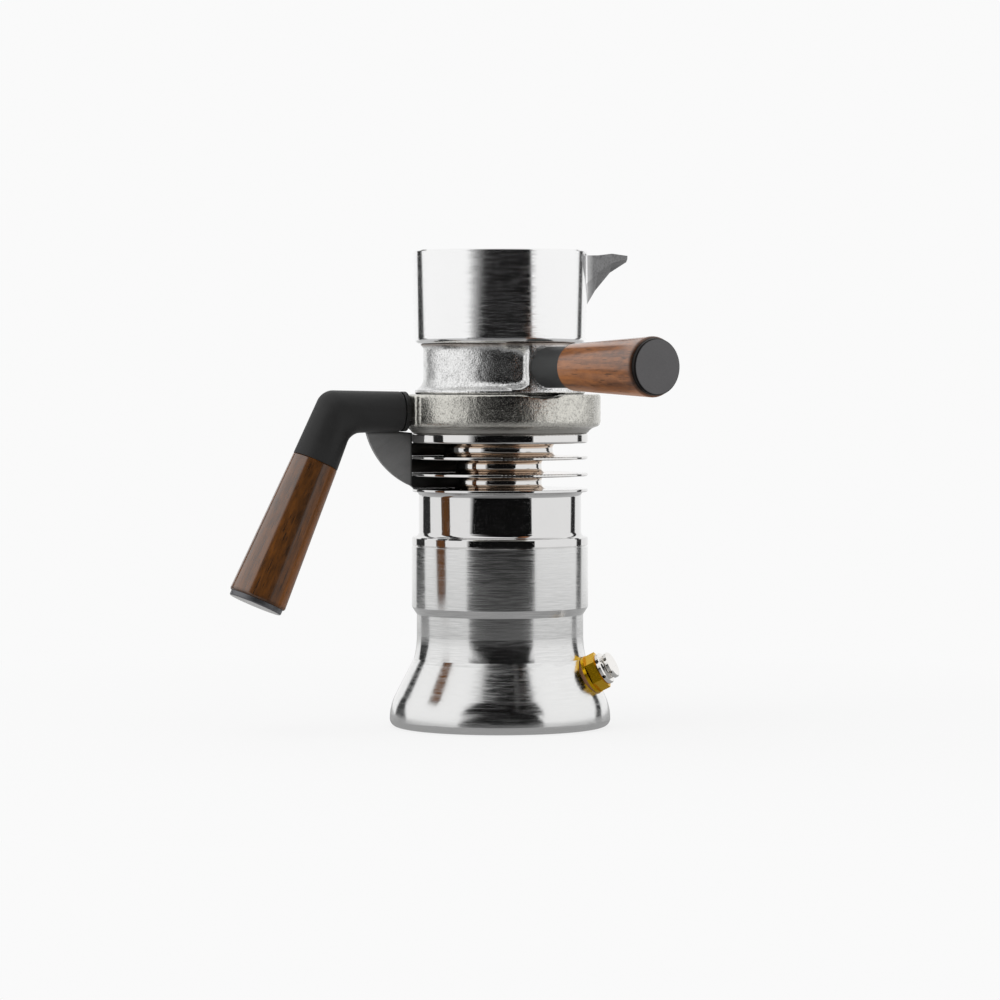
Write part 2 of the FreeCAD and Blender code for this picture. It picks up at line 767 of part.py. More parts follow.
relief_cap = new_body("relief_valve_cap_body")
turn_profile(relief_cap, "relief_cap", [
    ("plunger_stem + valve_fit", RELIEF_CAP_INSIDE),
    ("relief_chamber - relief_cap_shell", RELIEF_CAP_INSIDE),
    ("relief_chamber - relief_cap_shell", f"{RELIEF_BODY_TOP} - relief_cap_spigot"),
    ("relief_chamber - valve_fit", f"{RELIEF_BODY_TOP} - relief_cap_spigot"),
    ("relief_chamber - valve_fit", RELIEF_BODY_TOP),
    ("relief_cap_radius - edge_break", RELIEF_BODY_TOP),
    ("relief_cap_radius", f"{RELIEF_BODY_TOP} + edge_break"),
    ("relief_cap_radius", f"{RELIEF_BODY_TOP} + relief_cap_disc - edge_break"),
    ("relief_cap_radius - edge_break", f"{RELIEF_BODY_TOP} + relief_cap_disc"),
    ("relief_cap_neck", f"{RELIEF_BODY_TOP} + relief_cap_disc"),
    ("relief_cap_neck", RELIEF_CAP_TOP),
    ("plunger_stem + valve_fit", RELIEF_CAP_TOP),
])
hole_star(relief_cap, "relief_vent", f"{RELIEF_BODY_TOP} + relief_cap_disc / 2", "vent_radius",
          "relief_cap_radius + relief_flange", "vent_count")
place(relief_cap, **RELIEF_FRAME)
sub_part(relief_cap, "relief_valve_cap")

relief_part("relief_valve_seal", [
    ("0", RELIEF_FLOOR),
    ("relief_chamber - valve_fit", RELIEF_FLOOR),
    ("relief_chamber - valve_fit", RELIEF_SEAL_TOP),
    ("0", RELIEF_SEAL_TOP),
])
relief_plunger = new_body("relief_valve_plunger_body")
turn_profile(relief_plunger, "relief_plunger", [
    ("0", RELIEF_SEAL_TOP),
    ("relief_chamber - valve_fit", RELIEF_SEAL_TOP),
    ("relief_chamber - valve_fit", RELIEF_COLLAR_TOP),
    ("plunger_stem", RELIEF_COLLAR_TOP),
    ("plunger_stem", HEAD_BOTTOM),
    ("plunger_head - edge_break", HEAD_BOTTOM),
    ("plunger_head", f"{HEAD_BOTTOM} + edge_break"),
    ("plunger_head", f"{HEAD_BOTTOM} + plunger_head_thick - edge_break"),
    ("plunger_head - edge_break", f"{HEAD_BOTTOM} + plunger_head_thick"),
    ("0", f"{HEAD_BOTTOM} + plunger_head_thick"),
])
hole_star(relief_plunger, "pull_hole_drill", f"{HEAD_BOTTOM} + plunger_head_thick / 2",
          "pull_hole", "plunger_head + cut_past", "vent_count")
place(relief_plunger, **RELIEF_FRAME)
sub_part(relief_plunger, "relief_valve_plunger")

coil_spring("relief_valve_spring", "(relief_chamber - relief_cap_shell + plunger_stem) / 2",
            "relief_wire",
            f"({RELIEF_CAP_INSIDE} - {RELIEF_COLLAR_TOP} - 2 * relief_spring_gap)", "relief_spring_turns",
            **along(RELIEF_FRAME, f"{RELIEF_COLLAR_TOP} + relief_spring_gap"))


# Gasket between the boilers

ring_part("boiler_gasket", THREAD_BORE, f"{THREAD_BORE} + gasket_width - gasket_fit",
          "seam_height - gasket_thick", "seam_height")


# Upper boiler

FIN_UNDERSIDE = "roof_height - fin_thick"
turned_part("upper_boiler", [
    ("thread_radius - skirt_wall", SKIRT_BOTTOM),
    ("thread_radius - edge_break", SKIRT_BOTTOM),
    ("thread_radius", f"{SKIRT_BOTTOM} + edge_break"),
    ("thread_radius", "seam_height"),
    ("collar_radius - edge_break", "seam_height"),
    ("collar_radius", "seam_height + edge_break"),
    ("collar_radius", f"{LIP_TOP} - edge_break"),
    ("collar_radius - edge_break", LIP_TOP),
    ("bell_radius + lip_curve", LIP_TOP, "lip_curve", "right"),
    ("bell_radius", f"{LIP_TOP} + lip_curve"),
    ("bell_radius", f"{FIN_UNDERSIDE} - bell_fillet", "bell_fillet", "right"),
    ("bell_radius + bell_fillet", FIN_UNDERSIDE),
    ("fin_radius - fin_edge", FIN_UNDERSIDE, "fin_edge", "left"),
    ("fin_radius", f"{FIN_UNDERSIDE} + fin_edge"),
    ("fin_radius", "roof_height - fin_edge", "fin_edge", "left"),
    ("fin_radius - fin_edge", "roof_height"),
    ("valve_neck_radius + valve_fit", "roof_height"),
    ("valve_neck_radius + valve_fit", VALVE_ROOF),
    ("bell_radius - bell_wall - roof_curve", VALVE_ROOF, "roof_curve", "right"),
    ("bell_radius - bell_wall", f"{VALVE_ROOF} - roof_curve"),
    ("bell_radius - bell_wall", f"{LIP_TOP} + edge_break"),
    ("thread_radius - skirt_wall", "seam_height"),
])


# Pressure valve: water climbs the dip tube, lifts the poppet and leaves through the neck

valve_body = new_body("valve_housing_body")
pad_outline(valve_body, "valve_hexagon", hexagon("valve_hex"), VALVE_BOTTOM, "valve_hex_length")
turn_profile(valve_body, "valve_neck", [
    ("0", VALVE_FLANGE_BOTTOM),
    ("valve_flange", VALVE_FLANGE_BOTTOM),
    ("valve_flange", VALVE_FLANGE_TOP),
    ("valve_neck_radius", VALVE_FLANGE_TOP),
    ("valve_neck_radius", VALVE_NECK_TOP),
    ("0", VALVE_NECK_TOP),
])
turn_profile(valve_body, "valve_bore", [
    ("0", f"{VALVE_BOTTOM} - cut_past"),
    ("nut_spigot + valve_fit", f"{VALVE_BOTTOM} - cut_past"),
    ("nut_spigot + valve_fit", SEAT_BOTTOM),
    ("valve_bore", SEAT_BOTTOM),
    ("valve_bore", f"{VALVE_NECK_TOP} + cut_past"),
    ("0", f"{VALVE_NECK_TOP} + cut_past"),
], "PartDesign::Groove")
sub_part(valve_body, "valve_housing")

ring_part("valve_housing_gasket", "valve_neck_radius + valve_fit", "valve_flange - valve_gasket_inset",
          VALVE_FLANGE_TOP, VALVE_ROOF)
ring_part("valve_seat", "seat_hole", "valve_bore - valve_fit", SEAT_BOTTOM, SEAT_TOP)
turned_part("valve_poppet", [
    ("0", SEAT_TOP),
    ("poppet_radius", SEAT_TOP),
    ("poppet_radius", POPPET_TOP),
    ("poppet_stem", POPPET_TOP),
    ("poppet_stem", f"{POPPET_TOP} + poppet_stem_length"),
    ("0", f"{POPPET_TOP} + poppet_stem_length"),
])
coil_spring("valve_spring", "(poppet_stem + poppet_radius) / 2 + valve_wire / 4", "valve_wire",
            f"({RETAINER_BOTTOM} - {POPPET_TOP} - 2 * valve_spring_gap)", "valve_spring_turns",
            z=f"{POPPET_TOP} + valve_spring_gap")
ring_part("spring_retainer", "retainer_slot", "valve_bore - valve_fit", RETAINER_BOTTOM,
          VALVE_NECK_TOP)

turned_part("dip_tube", [
    ("tube_bore", "boiler_floor + tube_floor_gap"),
    ("tube_radius", "boiler_floor + tube_floor_gap"),
    ("tube_radius", f"{SEAT_BOTTOM} - tube_flange_thick"),
    ("tube_flange", f"{SEAT_BOTTOM} - tube_flange_thick"),
    ("tube_flange", SEAT_BOTTOM),
    ("tube_bore", SEAT_BOTTOM),
])
nut_body = new_body("dip_tube_nut_body")
pad_outline(nut_body, "nut_hexagon", hexagon("nut_hex"), f"{VALVE_BOTTOM} - nut_thick", "nut_thick")
turn_profile(nut_body, "nut_spigot", [
    ("0", f"{VALVE_BOTTOM} - nut_thick / 2"),
    ("nut_spigot", f"{VALVE_BOTTOM} - nut_thick / 2"),
    ("nut_spigot", f"{VALVE_BOTTOM} + nut_spigot_length"),
    ("0", f"{VALVE_BOTTOM} + nut_spigot_length"),
])
turn_profile(nut_body, "nut_bore", [
    ("0", f"{VALVE_BOTTOM} - nut_thick - cut_past"),
    ("tube_radius + valve_fit", f"{VALVE_BOTTOM} - nut_thick - cut_past"),
    ("tube_radius + valve_fit", f"{VALVE_BOTTOM} + nut_spigot_length + cut_past"),
    ("0", f"{VALVE_BOTTOM} + nut_spigot_length + cut_past"),
], "PartDesign::Groove")
sub_part(nut_body, "dip_tube_nut")


# Heat sink: spool with two fins and a top ring

def rounded_rim(radius, bottom, top, edge):
    """Outline of a rim from its lower face to its upper one, with both edges rounded."""
    return [
        (f"{radius} - {edge}", bottom, edge, "left"),
        (radius, f"{bottom} + {edge}"),
        (radius, f"{top} - {edge}", edge, "left"),
        (f"{radius} - {edge}", top),
    ]


def square_rim(radius, bottom, top, edge):
    """The same with sharp edges, for a cutter."""
    return [(radius, bottom), (radius, top)]


def spool_outline(rim, grow):
    """Outline of the spool's outside, from the roof up to the top ring, grown by a gap."""
    curve = f"(core_fillet - {grow})"
    outline = [
        ("core_radius + core_fillet", f"roof_height + {grow}", curve, "right"),
        (f"core_radius + {grow}", "roof_height + core_fillet"),
    ]
    for core_above, height in (("core_radius", "fin_one_height"),
                               ("neck_core_radius", "fin_two_height")):
        outline += [
            (f"core_radius + {grow}", f"{height} - core_fillet", curve, "right"),
            ("core_radius + core_fillet", f"{height} - {grow}"),
            *rim(f"(fin_radius + {grow})", f"({height} - {grow})",
                 f"({height} + fin_thick + {grow})", "fin_edge"),
            (f"{core_above} + core_fillet", f"{height} + fin_thick + {grow}", curve, "right"),
            (f"{core_above} + {grow}", f"{height} + fin_thick + core_fillet"),
        ]
    return outline + [
        (f"neck_core_radius + {grow}", "top_ring_height - core_fillet", curve, "right"),
        ("neck_core_radius + core_fillet", f"top_ring_height - {grow}"),
        *rim(f"(top_ring_radius + {grow})", f"(top_ring_height - {grow})", "spool_height",
             "top_ring_edge"),
    ]


heat_sink = new_body("heat_sink_body")
turn_profile(heat_sink, "heat_sink", [
    ("valve_neck_radius + valve_fit", "roof_height"),
    *spool_outline(rounded_rim, "0"),
    ("dish_radius", "spool_height"),
    ("dish_radius - dish_depth", "spool_height - dish_depth"),
    ("channel_radius", "spool_height - dish_depth"),
    ("channel_radius", f"{VALVE_NECK_TOP} + valve_fit"),
    ("valve_neck_radius + valve_fit", f"{VALVE_NECK_TOP} + valve_fit"),
])
hole_ring(heat_sink, "spool_screw", "screw_circle", "screw_radius + screw_fit",
          f"{RING_FLOOR} - screw_length - screw_fit", "screw_length", "screw_count")
sub_part(heat_sink, "heat_sink")


# Clamp ring: cast ring with the basket chamber, the bayonet and the handle lug

ring_body = new_body("clamp_ring_turned_body")
turn_profile(ring_body, "clamp_ring", [
    ("ring_hole", f"{RING_BASE} + shower_thick + shower_fit"),
    ("shower_radius + shower_fit", f"{RING_BASE} + shower_thick + shower_fit"),
    ("shower_radius + shower_fit", RING_BASE),
    ("top_ring_radius", RING_BASE, "ring_hollow", "right"),
    ("ring_belly_radius", "ring_belly", "ring_corner", "left"),
    ("ring_radius", "ring_belly + ring_corner"),
    ("ring_radius", "ring_top - edge_break"),
    ("ring_radius - edge_break", "ring_top"),
    ("spigot_radius + bayonet_gap", "ring_top"),
    ("spigot_radius + bayonet_gap", GROOVE_TOP),
    (GROOVE_RADIUS, GROOVE_TOP),
    (GROOVE_RADIUS, GROOVE_BOTTOM),
    ("basket_chamber", GROOVE_BOTTOM),
    ("basket_chamber", RING_FLOOR),
    ("ring_hole", RING_FLOOR),
])
for turn in range(int(number("bayonet_count"))):
    slot_start = f"({turn} * 360 / bayonet_count + unlock_angle - slot_angle / 2)"
    slot_end = f"({turn} * 360 / bayonet_count + unlock_angle + slot_angle / 2)"
    slot = new_sketch(ring_body, f"entry_slot_{turn}", "XY_Plane", "ring_top")
    draw_outline(slot, [
        (f"spigot_bore * cos{slot_start}", f"spigot_bore * sin{slot_start}"),
        (f"{GROOVE_RADIUS} * cos{slot_start}", f"{GROOVE_RADIUS} * sin{slot_start}",
         GROOVE_RADIUS, "left"),
        (f"{GROOVE_RADIUS} * cos{slot_end}", f"{GROOVE_RADIUS} * sin{slot_end}"),
        (f"spigot_bore * cos{slot_end}", f"spigot_bore * sin{slot_end}"),
    ])
    slot_cut = ring_body.newObject("PartDesign::Pocket", f"entry_slot_cut_{turn}")
    slot_cut.Profile = slot
    bind(slot_cut, "Length", "ledge_thick + bayonet_gap")
hole_ring(ring_body, "ring_screw", "screw_circle", "screw_radius + screw_fit",
          f"{RING_BASE} - screw_fit", "ring_floor + 2 * screw_fit", "screw_count")
hole_ring(ring_body, "ring_screw_head", "screw_circle", "screw_head + screw_fit",
          f"{RING_FLOOR} - screw_head_thick", "screw_head_thick + screw_fit", "screw_count")

lug_body = new_body("handle_lug_body")
pad_outline(lug_body, "handle_lug", [
    ("ring_radius - lug_root", "-lug_half_width"),
    ("lug_reach - lug_corner", "-lug_half_width", "lug_corner", "left"),
    ("lug_reach", "-lug_half_width + lug_corner"),
    ("lug_reach", "lug_half_width - lug_corner", "lug_corner", "left"),
    ("lug_reach - lug_corner", "lug_half_width"),
    ("ring_radius - lug_root", "lug_half_width"),
], "ring_belly + lug_margin", "ring_top - ring_belly - 2 * lug_margin")
place(lug_body, **HANDLE_PLANE)
ring_solid = fuse("clamp_ring_with_lug", [ring_body, lug_body])
stud_hole = cylinder("lug_stud_hole", "stud_radius + stud_fit", "lug_reach",
                     **along(ARM_FRAME, "lug_out"))
notch = cylinder("lock_notch", "notch_curve", "ring_radius",
                 **along({"z": "ring_top - notch_depth + notch_curve", "yaw": "notch_turn",
                          "pitch": "90"}, "spigot_radius"))
ring_cutters = fuse("ring_cutters", [stud_hole, notch])
sub_part(cut("clamp_ring_cut", ring_solid, ring_cutters), "clamp_ring")


def ring_screw(index):
    """One cap screw with a round recess in its head."""
    turn = f"({index} * 360 / screw_count)"
    spot = {"x": f"screw_circle * cos{turn}", "y": f"screw_circle * sin{turn}"}
    shank = cylinder(f"screw_shank_{index}", "screw_radius", "screw_length",
                     z=f"{RING_FLOOR} - screw_length", **spot)
    head = cylinder(f"screw_head_{index}", "screw_head", "screw_head_thick",
                    z=f"{RING_FLOOR} - screw_head_thick", **spot)
    socket = cylinder(f"screw_socket_{index}", "screw_socket", "screw_head_thick",
                      z=f"{RING_FLOOR} - screw_socket", **spot)
    return cut(f"ring_screw_{index}", fuse(f"screw_solid_{index}", [shank, head]), socket)


screws = doc.addObject("Part::Compound", "clamp_ring_screws_group")
screws.Links = [ring_screw(index) for index in range(int(number("screw_count")))]
sub_part(screws, "clamp_ring_screws")

shower = new_body("shower_screen_body")
turn_profile(shower, "shower", [
    ("0", RING_BASE),
    ("shower_radius", RING_BASE),
    ("shower_radius", f"{RING_BASE} + shower_thick"),
    ("0", f"{RING_BASE} + shower_thick"),
])
screen_holes(shower, "shower", RING_BASE, "shower_thick")
sub_part(shower, "shower_screen")


# Filter basket and gaskets

ring_part("lower_basket_gasket", "lower_gasket_in", "lower_gasket_out", RING_FLOOR, BASKET_BOTTOM)

basket = new_body("filter_basket_body")
turn_profile(basket, "basket", [
    ("0", BASKET_BOTTOM),
    ("basket_radius", BASKET_BOTTOM),
    ("basket_radius", f"{BASKET_TOP} - basket_rim_thick"),
    ("basket_rim", f"{BASKET_TOP} - basket_rim_thick"),
    ("basket_rim", BASKET_TOP),
    ("basket_radius - basket_wall", BASKET_TOP),
    ("basket_radius - basket_wall", f"{BASKET_BOTTOM} + basket_wall"),
    ("0", f"{BASKET_BOTTOM} + basket_wall"),
])
screen_holes(basket, "basket", BASKET_BOTTOM, "basket_wall")
sub_part(basket, "filter_basket")

ring_part("upper_gasket", "upper_gasket_in", "spigot_bore - gasket_side_gap", BASKET_TOP,
          UPPER_GASKET_TOP)

screen = new_body("upper_screen_body")
turn_profile(screen, "screen", [
    ("0", UPPER_GASKET_TOP),
    ("screen_radius", UPPER_GASKET_TOP),
    ("screen_radius", SCREEN_TOP),
    ("0", SCREEN_TOP),
])
screen_holes(screen, "screen", UPPER_GASKET_TOP, "screen_thick")
sub_part(screen, "upper_screen")


# Collector: spigot with lugs, neck, boss, cup and spout

CUP_SEAT = "(cup_bottom - cup_corner / 2)"
FLOOR_RADIUS = "(cup_bottom_radius - cup_wall - cup_fillet)"

neck_body = new_body("collector_neck_body")
turn_profile(neck_body, "collector_neck", [
    ("spigot_bore", "spigot_bottom"),
    ("spigot_radius", "spigot_bottom"),
    ("spigot_radius", FLANGE_BOTTOM),
    ("flange_radius", FLANGE_BOTTOM),
    ("flange_radius", f"{FLANGE_BOTTOM} + flange_thick", "neck_bottom_curve", "right"),
    ("neck_radius", "neck_bottom"),
    ("neck_radius", "neck_top", "neck_top_curve", "right"),
    ("cup_bottom_radius - cup_corner", CUP_SEAT),
    (FLOOR_RADIUS, CUP_SEAT),
    (FLOOR_RADIUS, CUP_FLOOR_TOP),
    ("column_radius + column_fit", CUP_FLOOR_TOP),
    ("column_radius + column_fit", CUP_FLOOR_BOTTOM),
    ("column_bore", CUP_FLOOR_BOTTOM),
    ("column_bore", f"{CUP_FLOOR_BOTTOM} - floor_web"),
    ("dome_radius", SCREEN_TOP),
    ("screen_radius + screen_fit", SCREEN_TOP),
    ("screen_radius + screen_fit", UPPER_GASKET_TOP),
    ("spigot_bore", UPPER_GASKET_TOP),
])
for turn in range(int(number("bayonet_count"))):
    lug_start = f"({turn} * 360 / bayonet_count - lug_angle / 2)"
    lug_end = f"({turn} * 360 / bayonet_count + lug_angle / 2)"
    inner = "(spigot_radius - spigot_skin)"
    lug = new_sketch(neck_body, f"bayonet_lug_{turn}", "XY_Plane", "spigot_bottom + lug_base")
    draw_outline(lug, [
        (f"{inner} * cos{lug_start}", f"{inner} * sin{lug_start}"),
        (f"lug_out * cos{lug_start}", f"lug_out * sin{lug_start}", "lug_out", "left"),
        (f"lug_out * cos{lug_end}", f"lug_out * sin{lug_end}"),
        (f"{inner} * cos{lug_end}", f"{inner} * sin{lug_end}", inner, "right"),
    ])
    lug_pad = neck_body.newObject("PartDesign::Pad", f"bayonet_lug_pad_{turn}")
    lug_pad.Profile = lug
    bind(lug_pad, "Length", "lug_thick")

boss_ring = new_body("boss_ring_body")
turn_profile(boss_ring, "boss_ring", [
    ("neck_radius - boss_root", f"{FLANGE_BOTTOM} + flange_thick / 2"),
    ("flange_radius", f"{FLANGE_BOTTOM} + flange_thick / 2"),
    ("flange_radius", CUP_SEAT),
    ("neck_radius - boss_root", CUP_SEAT),
])
boss_block = box("boss_block", "ring_radius", "2 * boss_half_width", "ring_radius",
                 x="boss_half_width * sin(collector_turn)",
                 y="-boss_half_width * cos(collector_turn)",
                 z="ring_top", yaw="collector_turn")
boss = common("collector_boss", [boss_ring, boss_block])
neck_with_boss = fuse("neck_with_boss", [neck_body, boss])
ferrule_seat = cylinder("ferrule_seat", "ferrule_radius + boss_clearance", "ring_radius",
                        **along(COLLECTOR_FRAME, "boss_face"))
boss_hole = cylinder("boss_rod_hole", "rod_radius + rod_fit", "boss_face",
                     **along(COLLECTOR_FRAME, "collector_rod_root - rod_fit"))
boss_cutters = fuse("boss_cutters", [ferrule_seat, boss_hole])
sub_part(cut("collector_neck_cut", neck_with_boss, boss_cutters), "collector_neck")

# The cup is a turned ring that stands on the neck's step, with the spout grown out of its wall
cup_body = new_body("collector_cup_body")
turn_profile(cup_body, "collector_cup", [
    (FLOOR_RADIUS, CUP_SEAT),
    ("cup_bottom_radius - cup_corner", CUP_SEAT, "cup_corner", "left"),
    ("cup_bottom_radius", "cup_bottom + cup_corner / 2"),
    ("cup_radius", "cup_height - edge_break"),
    ("cup_radius - edge_break", "cup_height"),
    ("cup_radius - cup_wall + edge_break", "cup_height"),
    ("cup_radius - cup_wall", "cup_height - edge_break"),
    ("cup_bottom_radius - cup_wall", f"{CUP_FLOOR_TOP} + cup_fillet", "cup_fillet", "right"),
    (FLOOR_RADIUS, CUP_FLOOR_TOP),
])


def spout_loft(name, wall, past):
    """The spout's V-shaped sections, from its root in the cup wall to its tip, lofted.

    The wall is taken off each side, and past is how far a channel runs beyond the root, the tip
    and the top.
    """
    sections = []
    for station in ("root", "waist", "neck", "tip"):
        reach = f"spout_{station}_reach"
        if station == "root":
            reach = f"({reach} - {past})"
        if station == "tip":
            reach = f"({reach} + {past})"
        half = f"(spout_{station}_half - {wall})"
        low = f"(spout_{station}_low + {wall} * spout_floor_share)"
        top = f"(cup_height - spout_{station}_drop + {past})"
        middle = f"({top} + {low}) / 2"
        section = doc.addObject("Sketcher::SketchObject", f"{name}_{station}")
        place(section, x=f"{reach} * cos(spout_turn)", y=f"{reach} * sin(spout_turn)",
              yaw="90 + spout_turn", roll="90")
        draw_outline(section, [
            ("0", low),
            (f"{half} * spout_bulge", middle),
            (half, top),
            (f"-{half}", top),
            (f"-{half} * spout_bulge", middle),
        ])
        sections.append(section)
    loft = doc.addObject("Part::Loft", name)
    loft.Sections = sections
    loft.Solid = True
    loft.Ruled = True
    return loft


cup_with_spout = fuse("cup_with_spout", [cup_body, spout_loft("spout_outside", "0", "0")])
spout_channel = spout_loft("spout_channel", "spout_wall", "cut_past")
sub_part(cut("collector_cup_cut", cup_with_spout, spout_channel), "collector_cup")

turned_part("outlet_column", [
    ("column_bore", CUP_FLOOR_BOTTOM),
    ("column_radius", CUP_FLOOR_BOTTOM),
    ("column_radius", CUP_FLOOR_TOP),
    ("column_flange", CUP_FLOOR_TOP),
    ("column_flange", f"{CUP_FLOOR_TOP} + column_flange_thick"),
    ("column_radius", f"{CUP_FLOOR_TOP} + column_flange_thick + edge_break"),
    ("column_radius", COLUMN_TOP),
    ("column_bore", COLUMN_TOP),
])
column_cap = new_body("column_cap_body")
turn_profile(column_cap, "column_cap", [
    ("column_radius + column_fit", f"{COLUMN_TOP} - cap_reach"),
    ("cap_outer", f"{COLUMN_TOP} - cap_reach"),
    ("cap_outer", f"{COLUMN_TOP} + cap_gap", "cap_outer - cap_crown", "left"),
    ("cap_crown", f"{COLUMN_TOP} + cap_gap + cap_outer - cap_crown"),
    ("0", f"{COLUMN_TOP} + cap_gap + cap_outer - cap_crown"),
    ("0", f"{COLUMN_TOP} + cap_gap"),
    ("column_radius + column_fit", f"{COLUMN_TOP} + cap_gap"),
])
for side in range(2):
    outlet_sketch = new_sketch(column_cap, f"outlet_{side}", "YZ_Plane")
    draw_circle(outlet_sketch, "0", f"{COLUMN_TOP} + cap_gap / 2", "outlet_radius")
    outlet = column_cap.newObject("PartDesign::Pocket", f"outlet_cut_{side}")
    outlet.Profile = outlet_sketch
    outlet.Reversed = side == 1
    bind(outlet, "Length", "2 * cap_outer")
sub_part(column_cap, "column_cap")


# Grips: a turned walnut handle, its through rod and its end cap, in the frame of their own axis

def grip_parts(prefix, frame, start, end, rod_root):
    """One handle's grip, rod and cap, from start to end along the frame's axis."""
    seat = f"({end} - cap_inset)"
    grip = turned_part(f"{prefix}_grip", [
        ("rod_radius + rod_fit", start),
        ("grip_small_radius - grip_seam", start),
        ("grip_small_radius", f"{start} + grip_seam"),
        ("grip_large_radius", f"{end} - grip_edge", "grip_edge", "left"),
        ("grip_large_radius - grip_edge", end),
        ("cap_radius - cap_edge", end),
        ("cap_radius - cap_edge", seat),
        ("rod_radius + rod_fit", seat),
    ])
    place(grip, **frame)
    cap = turned_part(f"{prefix}_grip_cap", [
        ("0", seat),
        ("cap_radius - cap_edge - rod_fit", seat),
        ("cap_radius - cap_edge - rod_fit", end),
        ("cap_radius", end),
        ("cap_radius", f"{end} + cap_thick - cap_edge", "cap_edge", "left"),
        ("cap_radius - cap_edge", f"{end} + cap_thick"),
        ("0", f"{end} + cap_thick"),
    ])
    place(cap, **frame)
    rod = turned_part(f"{prefix}_rod", [
        ("0", rod_root),
        ("rod_radius - edge_break", rod_root),
        ("rod_radius", f"{rod_root} + edge_break"),
        ("rod_radius", seat),
        ("0", seat),
    ])
    place(rod, **frame)


# Collector handle

ferrule = turned_part("collector_ferrule", [
    ("rod_radius + rod_fit", "boss_face"),
    ("ferrule_radius - ferrule_edge", "boss_face"),
    ("ferrule_radius", "boss_face + ferrule_edge"),
    ("ferrule_radius", f"{FERRULE_END} - ferrule_edge"),
    ("ferrule_radius - ferrule_edge", FERRULE_END),
    ("rod_radius + rod_fit", FERRULE_END),
])
place(ferrule, **COLLECTOR_FRAME)
grip_parts("collector", COLLECTOR_FRAME, FERRULE_END, COLLECTOR_GRIP_END, "collector_rod_root")


# Main handle: stud in the lug, elbow, grip

stud = turned_part("handle_stud", [
    ("0", GROOVE_RADIUS),
    ("stud_radius", GROOVE_RADIUS),
    ("stud_radius", f"{GROOVE_RADIUS} + stud_length"),
    ("0", f"{GROOVE_RADIUS} + stud_length"),
])
place(stud, **ARM_FRAME)

# The elbow is lofted from the arm's root circle over the mitre's ellipse to the end of the leg
arm_root = doc.addObject("Part::Circle", "arm_root_circle")
bind(arm_root, "Radius", "arm_root_radius")
place(arm_root, **along(ARM_FRAME, ARM_ROOT))
mitre = doc.addObject("Part::Ellipse", "mitre_ellipse")
bind(mitre, "MajorRadius", f"arm_bend_radius / cos({MITRE_TURN})")
bind(mitre, "MinorRadius", "arm_bend_radius")
place(mitre, **{**LEG_FRAME, "pitch": f"90 + {MITRE_TURN}"})
leg_end = doc.addObject("Part::Circle", "leg_end_circle")
bind(leg_end, "Radius", "leg_end_radius")
place(leg_end, **along(LEG_FRAME, "leg_length"))
elbow = doc.addObject("Part::Loft", "elbow_loft")
elbow.Sections = [arm_root, mitre, leg_end]
elbow.Solid = True
elbow.Ruled = True
arm_bore = cylinder("arm_bore", "stud_radius + stud_fit", "stud_length + stud_fit",
                    **along(ARM_FRAME, GROOVE_RADIUS))
leg_bore = cylinder("leg_bore", "rod_radius + rod_fit", "leg_length",
                    **along(LEG_FRAME, "main_rod_root - rod_fit"))
elbow_bores = fuse("elbow_bores", [arm_bore, leg_bore])
sub_part(cut("handle_elbow_cut", elbow, elbow_bores), "handle_elbow")
grip_parts("main", LEG_FRAME, "leg_length", MAIN_GRIP_END, "main_rod_root")


# Hand guard: a half disc beside the handle plane, combed round the fins and clamped under the arm

guard_plate = new_body("hand_guard_plate")
guard_sketch = new_sketch(guard_plate, "guard_outline", "XZ_Plane", "guard_offset")
draw_outline(guard_sketch, [
    ("guard_inner_reach", GUARD_BOTTOM),
    (f"guard_centre_reach + sqrt(guard_curve ^ 2 - (handle_axis_height - {GUARD_BOTTOM}) ^ 2)",
     GUARD_BOTTOM, "guard_curve", "left"),
    ("guard_centre_reach + sqrt(guard_curve ^ 2 - (guard_top - handle_axis_height) ^ 2)",
     "guard_top"),
    ("guard_inner_reach", "guard_top"),
])
guard_pad = guard_plate.newObject("PartDesign::Pad", "guard_pad")
guard_pad.Profile = guard_sketch
bind(guard_pad, "Length", "guard_thick")
place(guard_plate, **HANDLE_PLANE)
guard_eye = cylinder("guard_eye", "arm_root_radius", "guard_eye_thick",
                     **along(ARM_FRAME, "lug_reach"))
bridge_body = new_body("guard_bridge_body")
pad_outline(bridge_body, "guard_bridge", [
    ("lug_reach", "-guard_offset - guard_thick"),
    (ARM_ROOT, "-guard_offset - guard_thick"),
    (ARM_ROOT, "0"),
    ("lug_reach", "0"),
], "handle_axis_height - guard_bridge_height / 2", "guard_bridge_height")
place(bridge_body, **HANDLE_PLANE)
guard_solid = fuse("hand_guard_solid", [guard_plate, guard_eye, bridge_body])


guard_gap = new_body("guard_gap_body")
turn_profile(guard_gap, "guard_gap", [
    ("0", "roof_height"),
    ("core_radius + core_fillet", "roof_height"),
    *spool_outline(square_rim, "guard_fin_gap"),
    ("ring_radius + guard_fin_gap", "spool_height"),
    ("ring_radius + guard_fin_gap", "ring_top"),
    ("0", "ring_top"),
])
guard_combed = cut("guard_combed", guard_solid, guard_gap, refine=False)
guard_stud_hole = cylinder("guard_stud_hole", "stud_radius + stud_fit", "stud_length",
                           **along(ARM_FRAME, GROOVE_RADIUS))
sub_part(cut("hand_guard_cut", guard_combed, guard_stud_hole, refine=False), "hand_guard")


# Checks and export

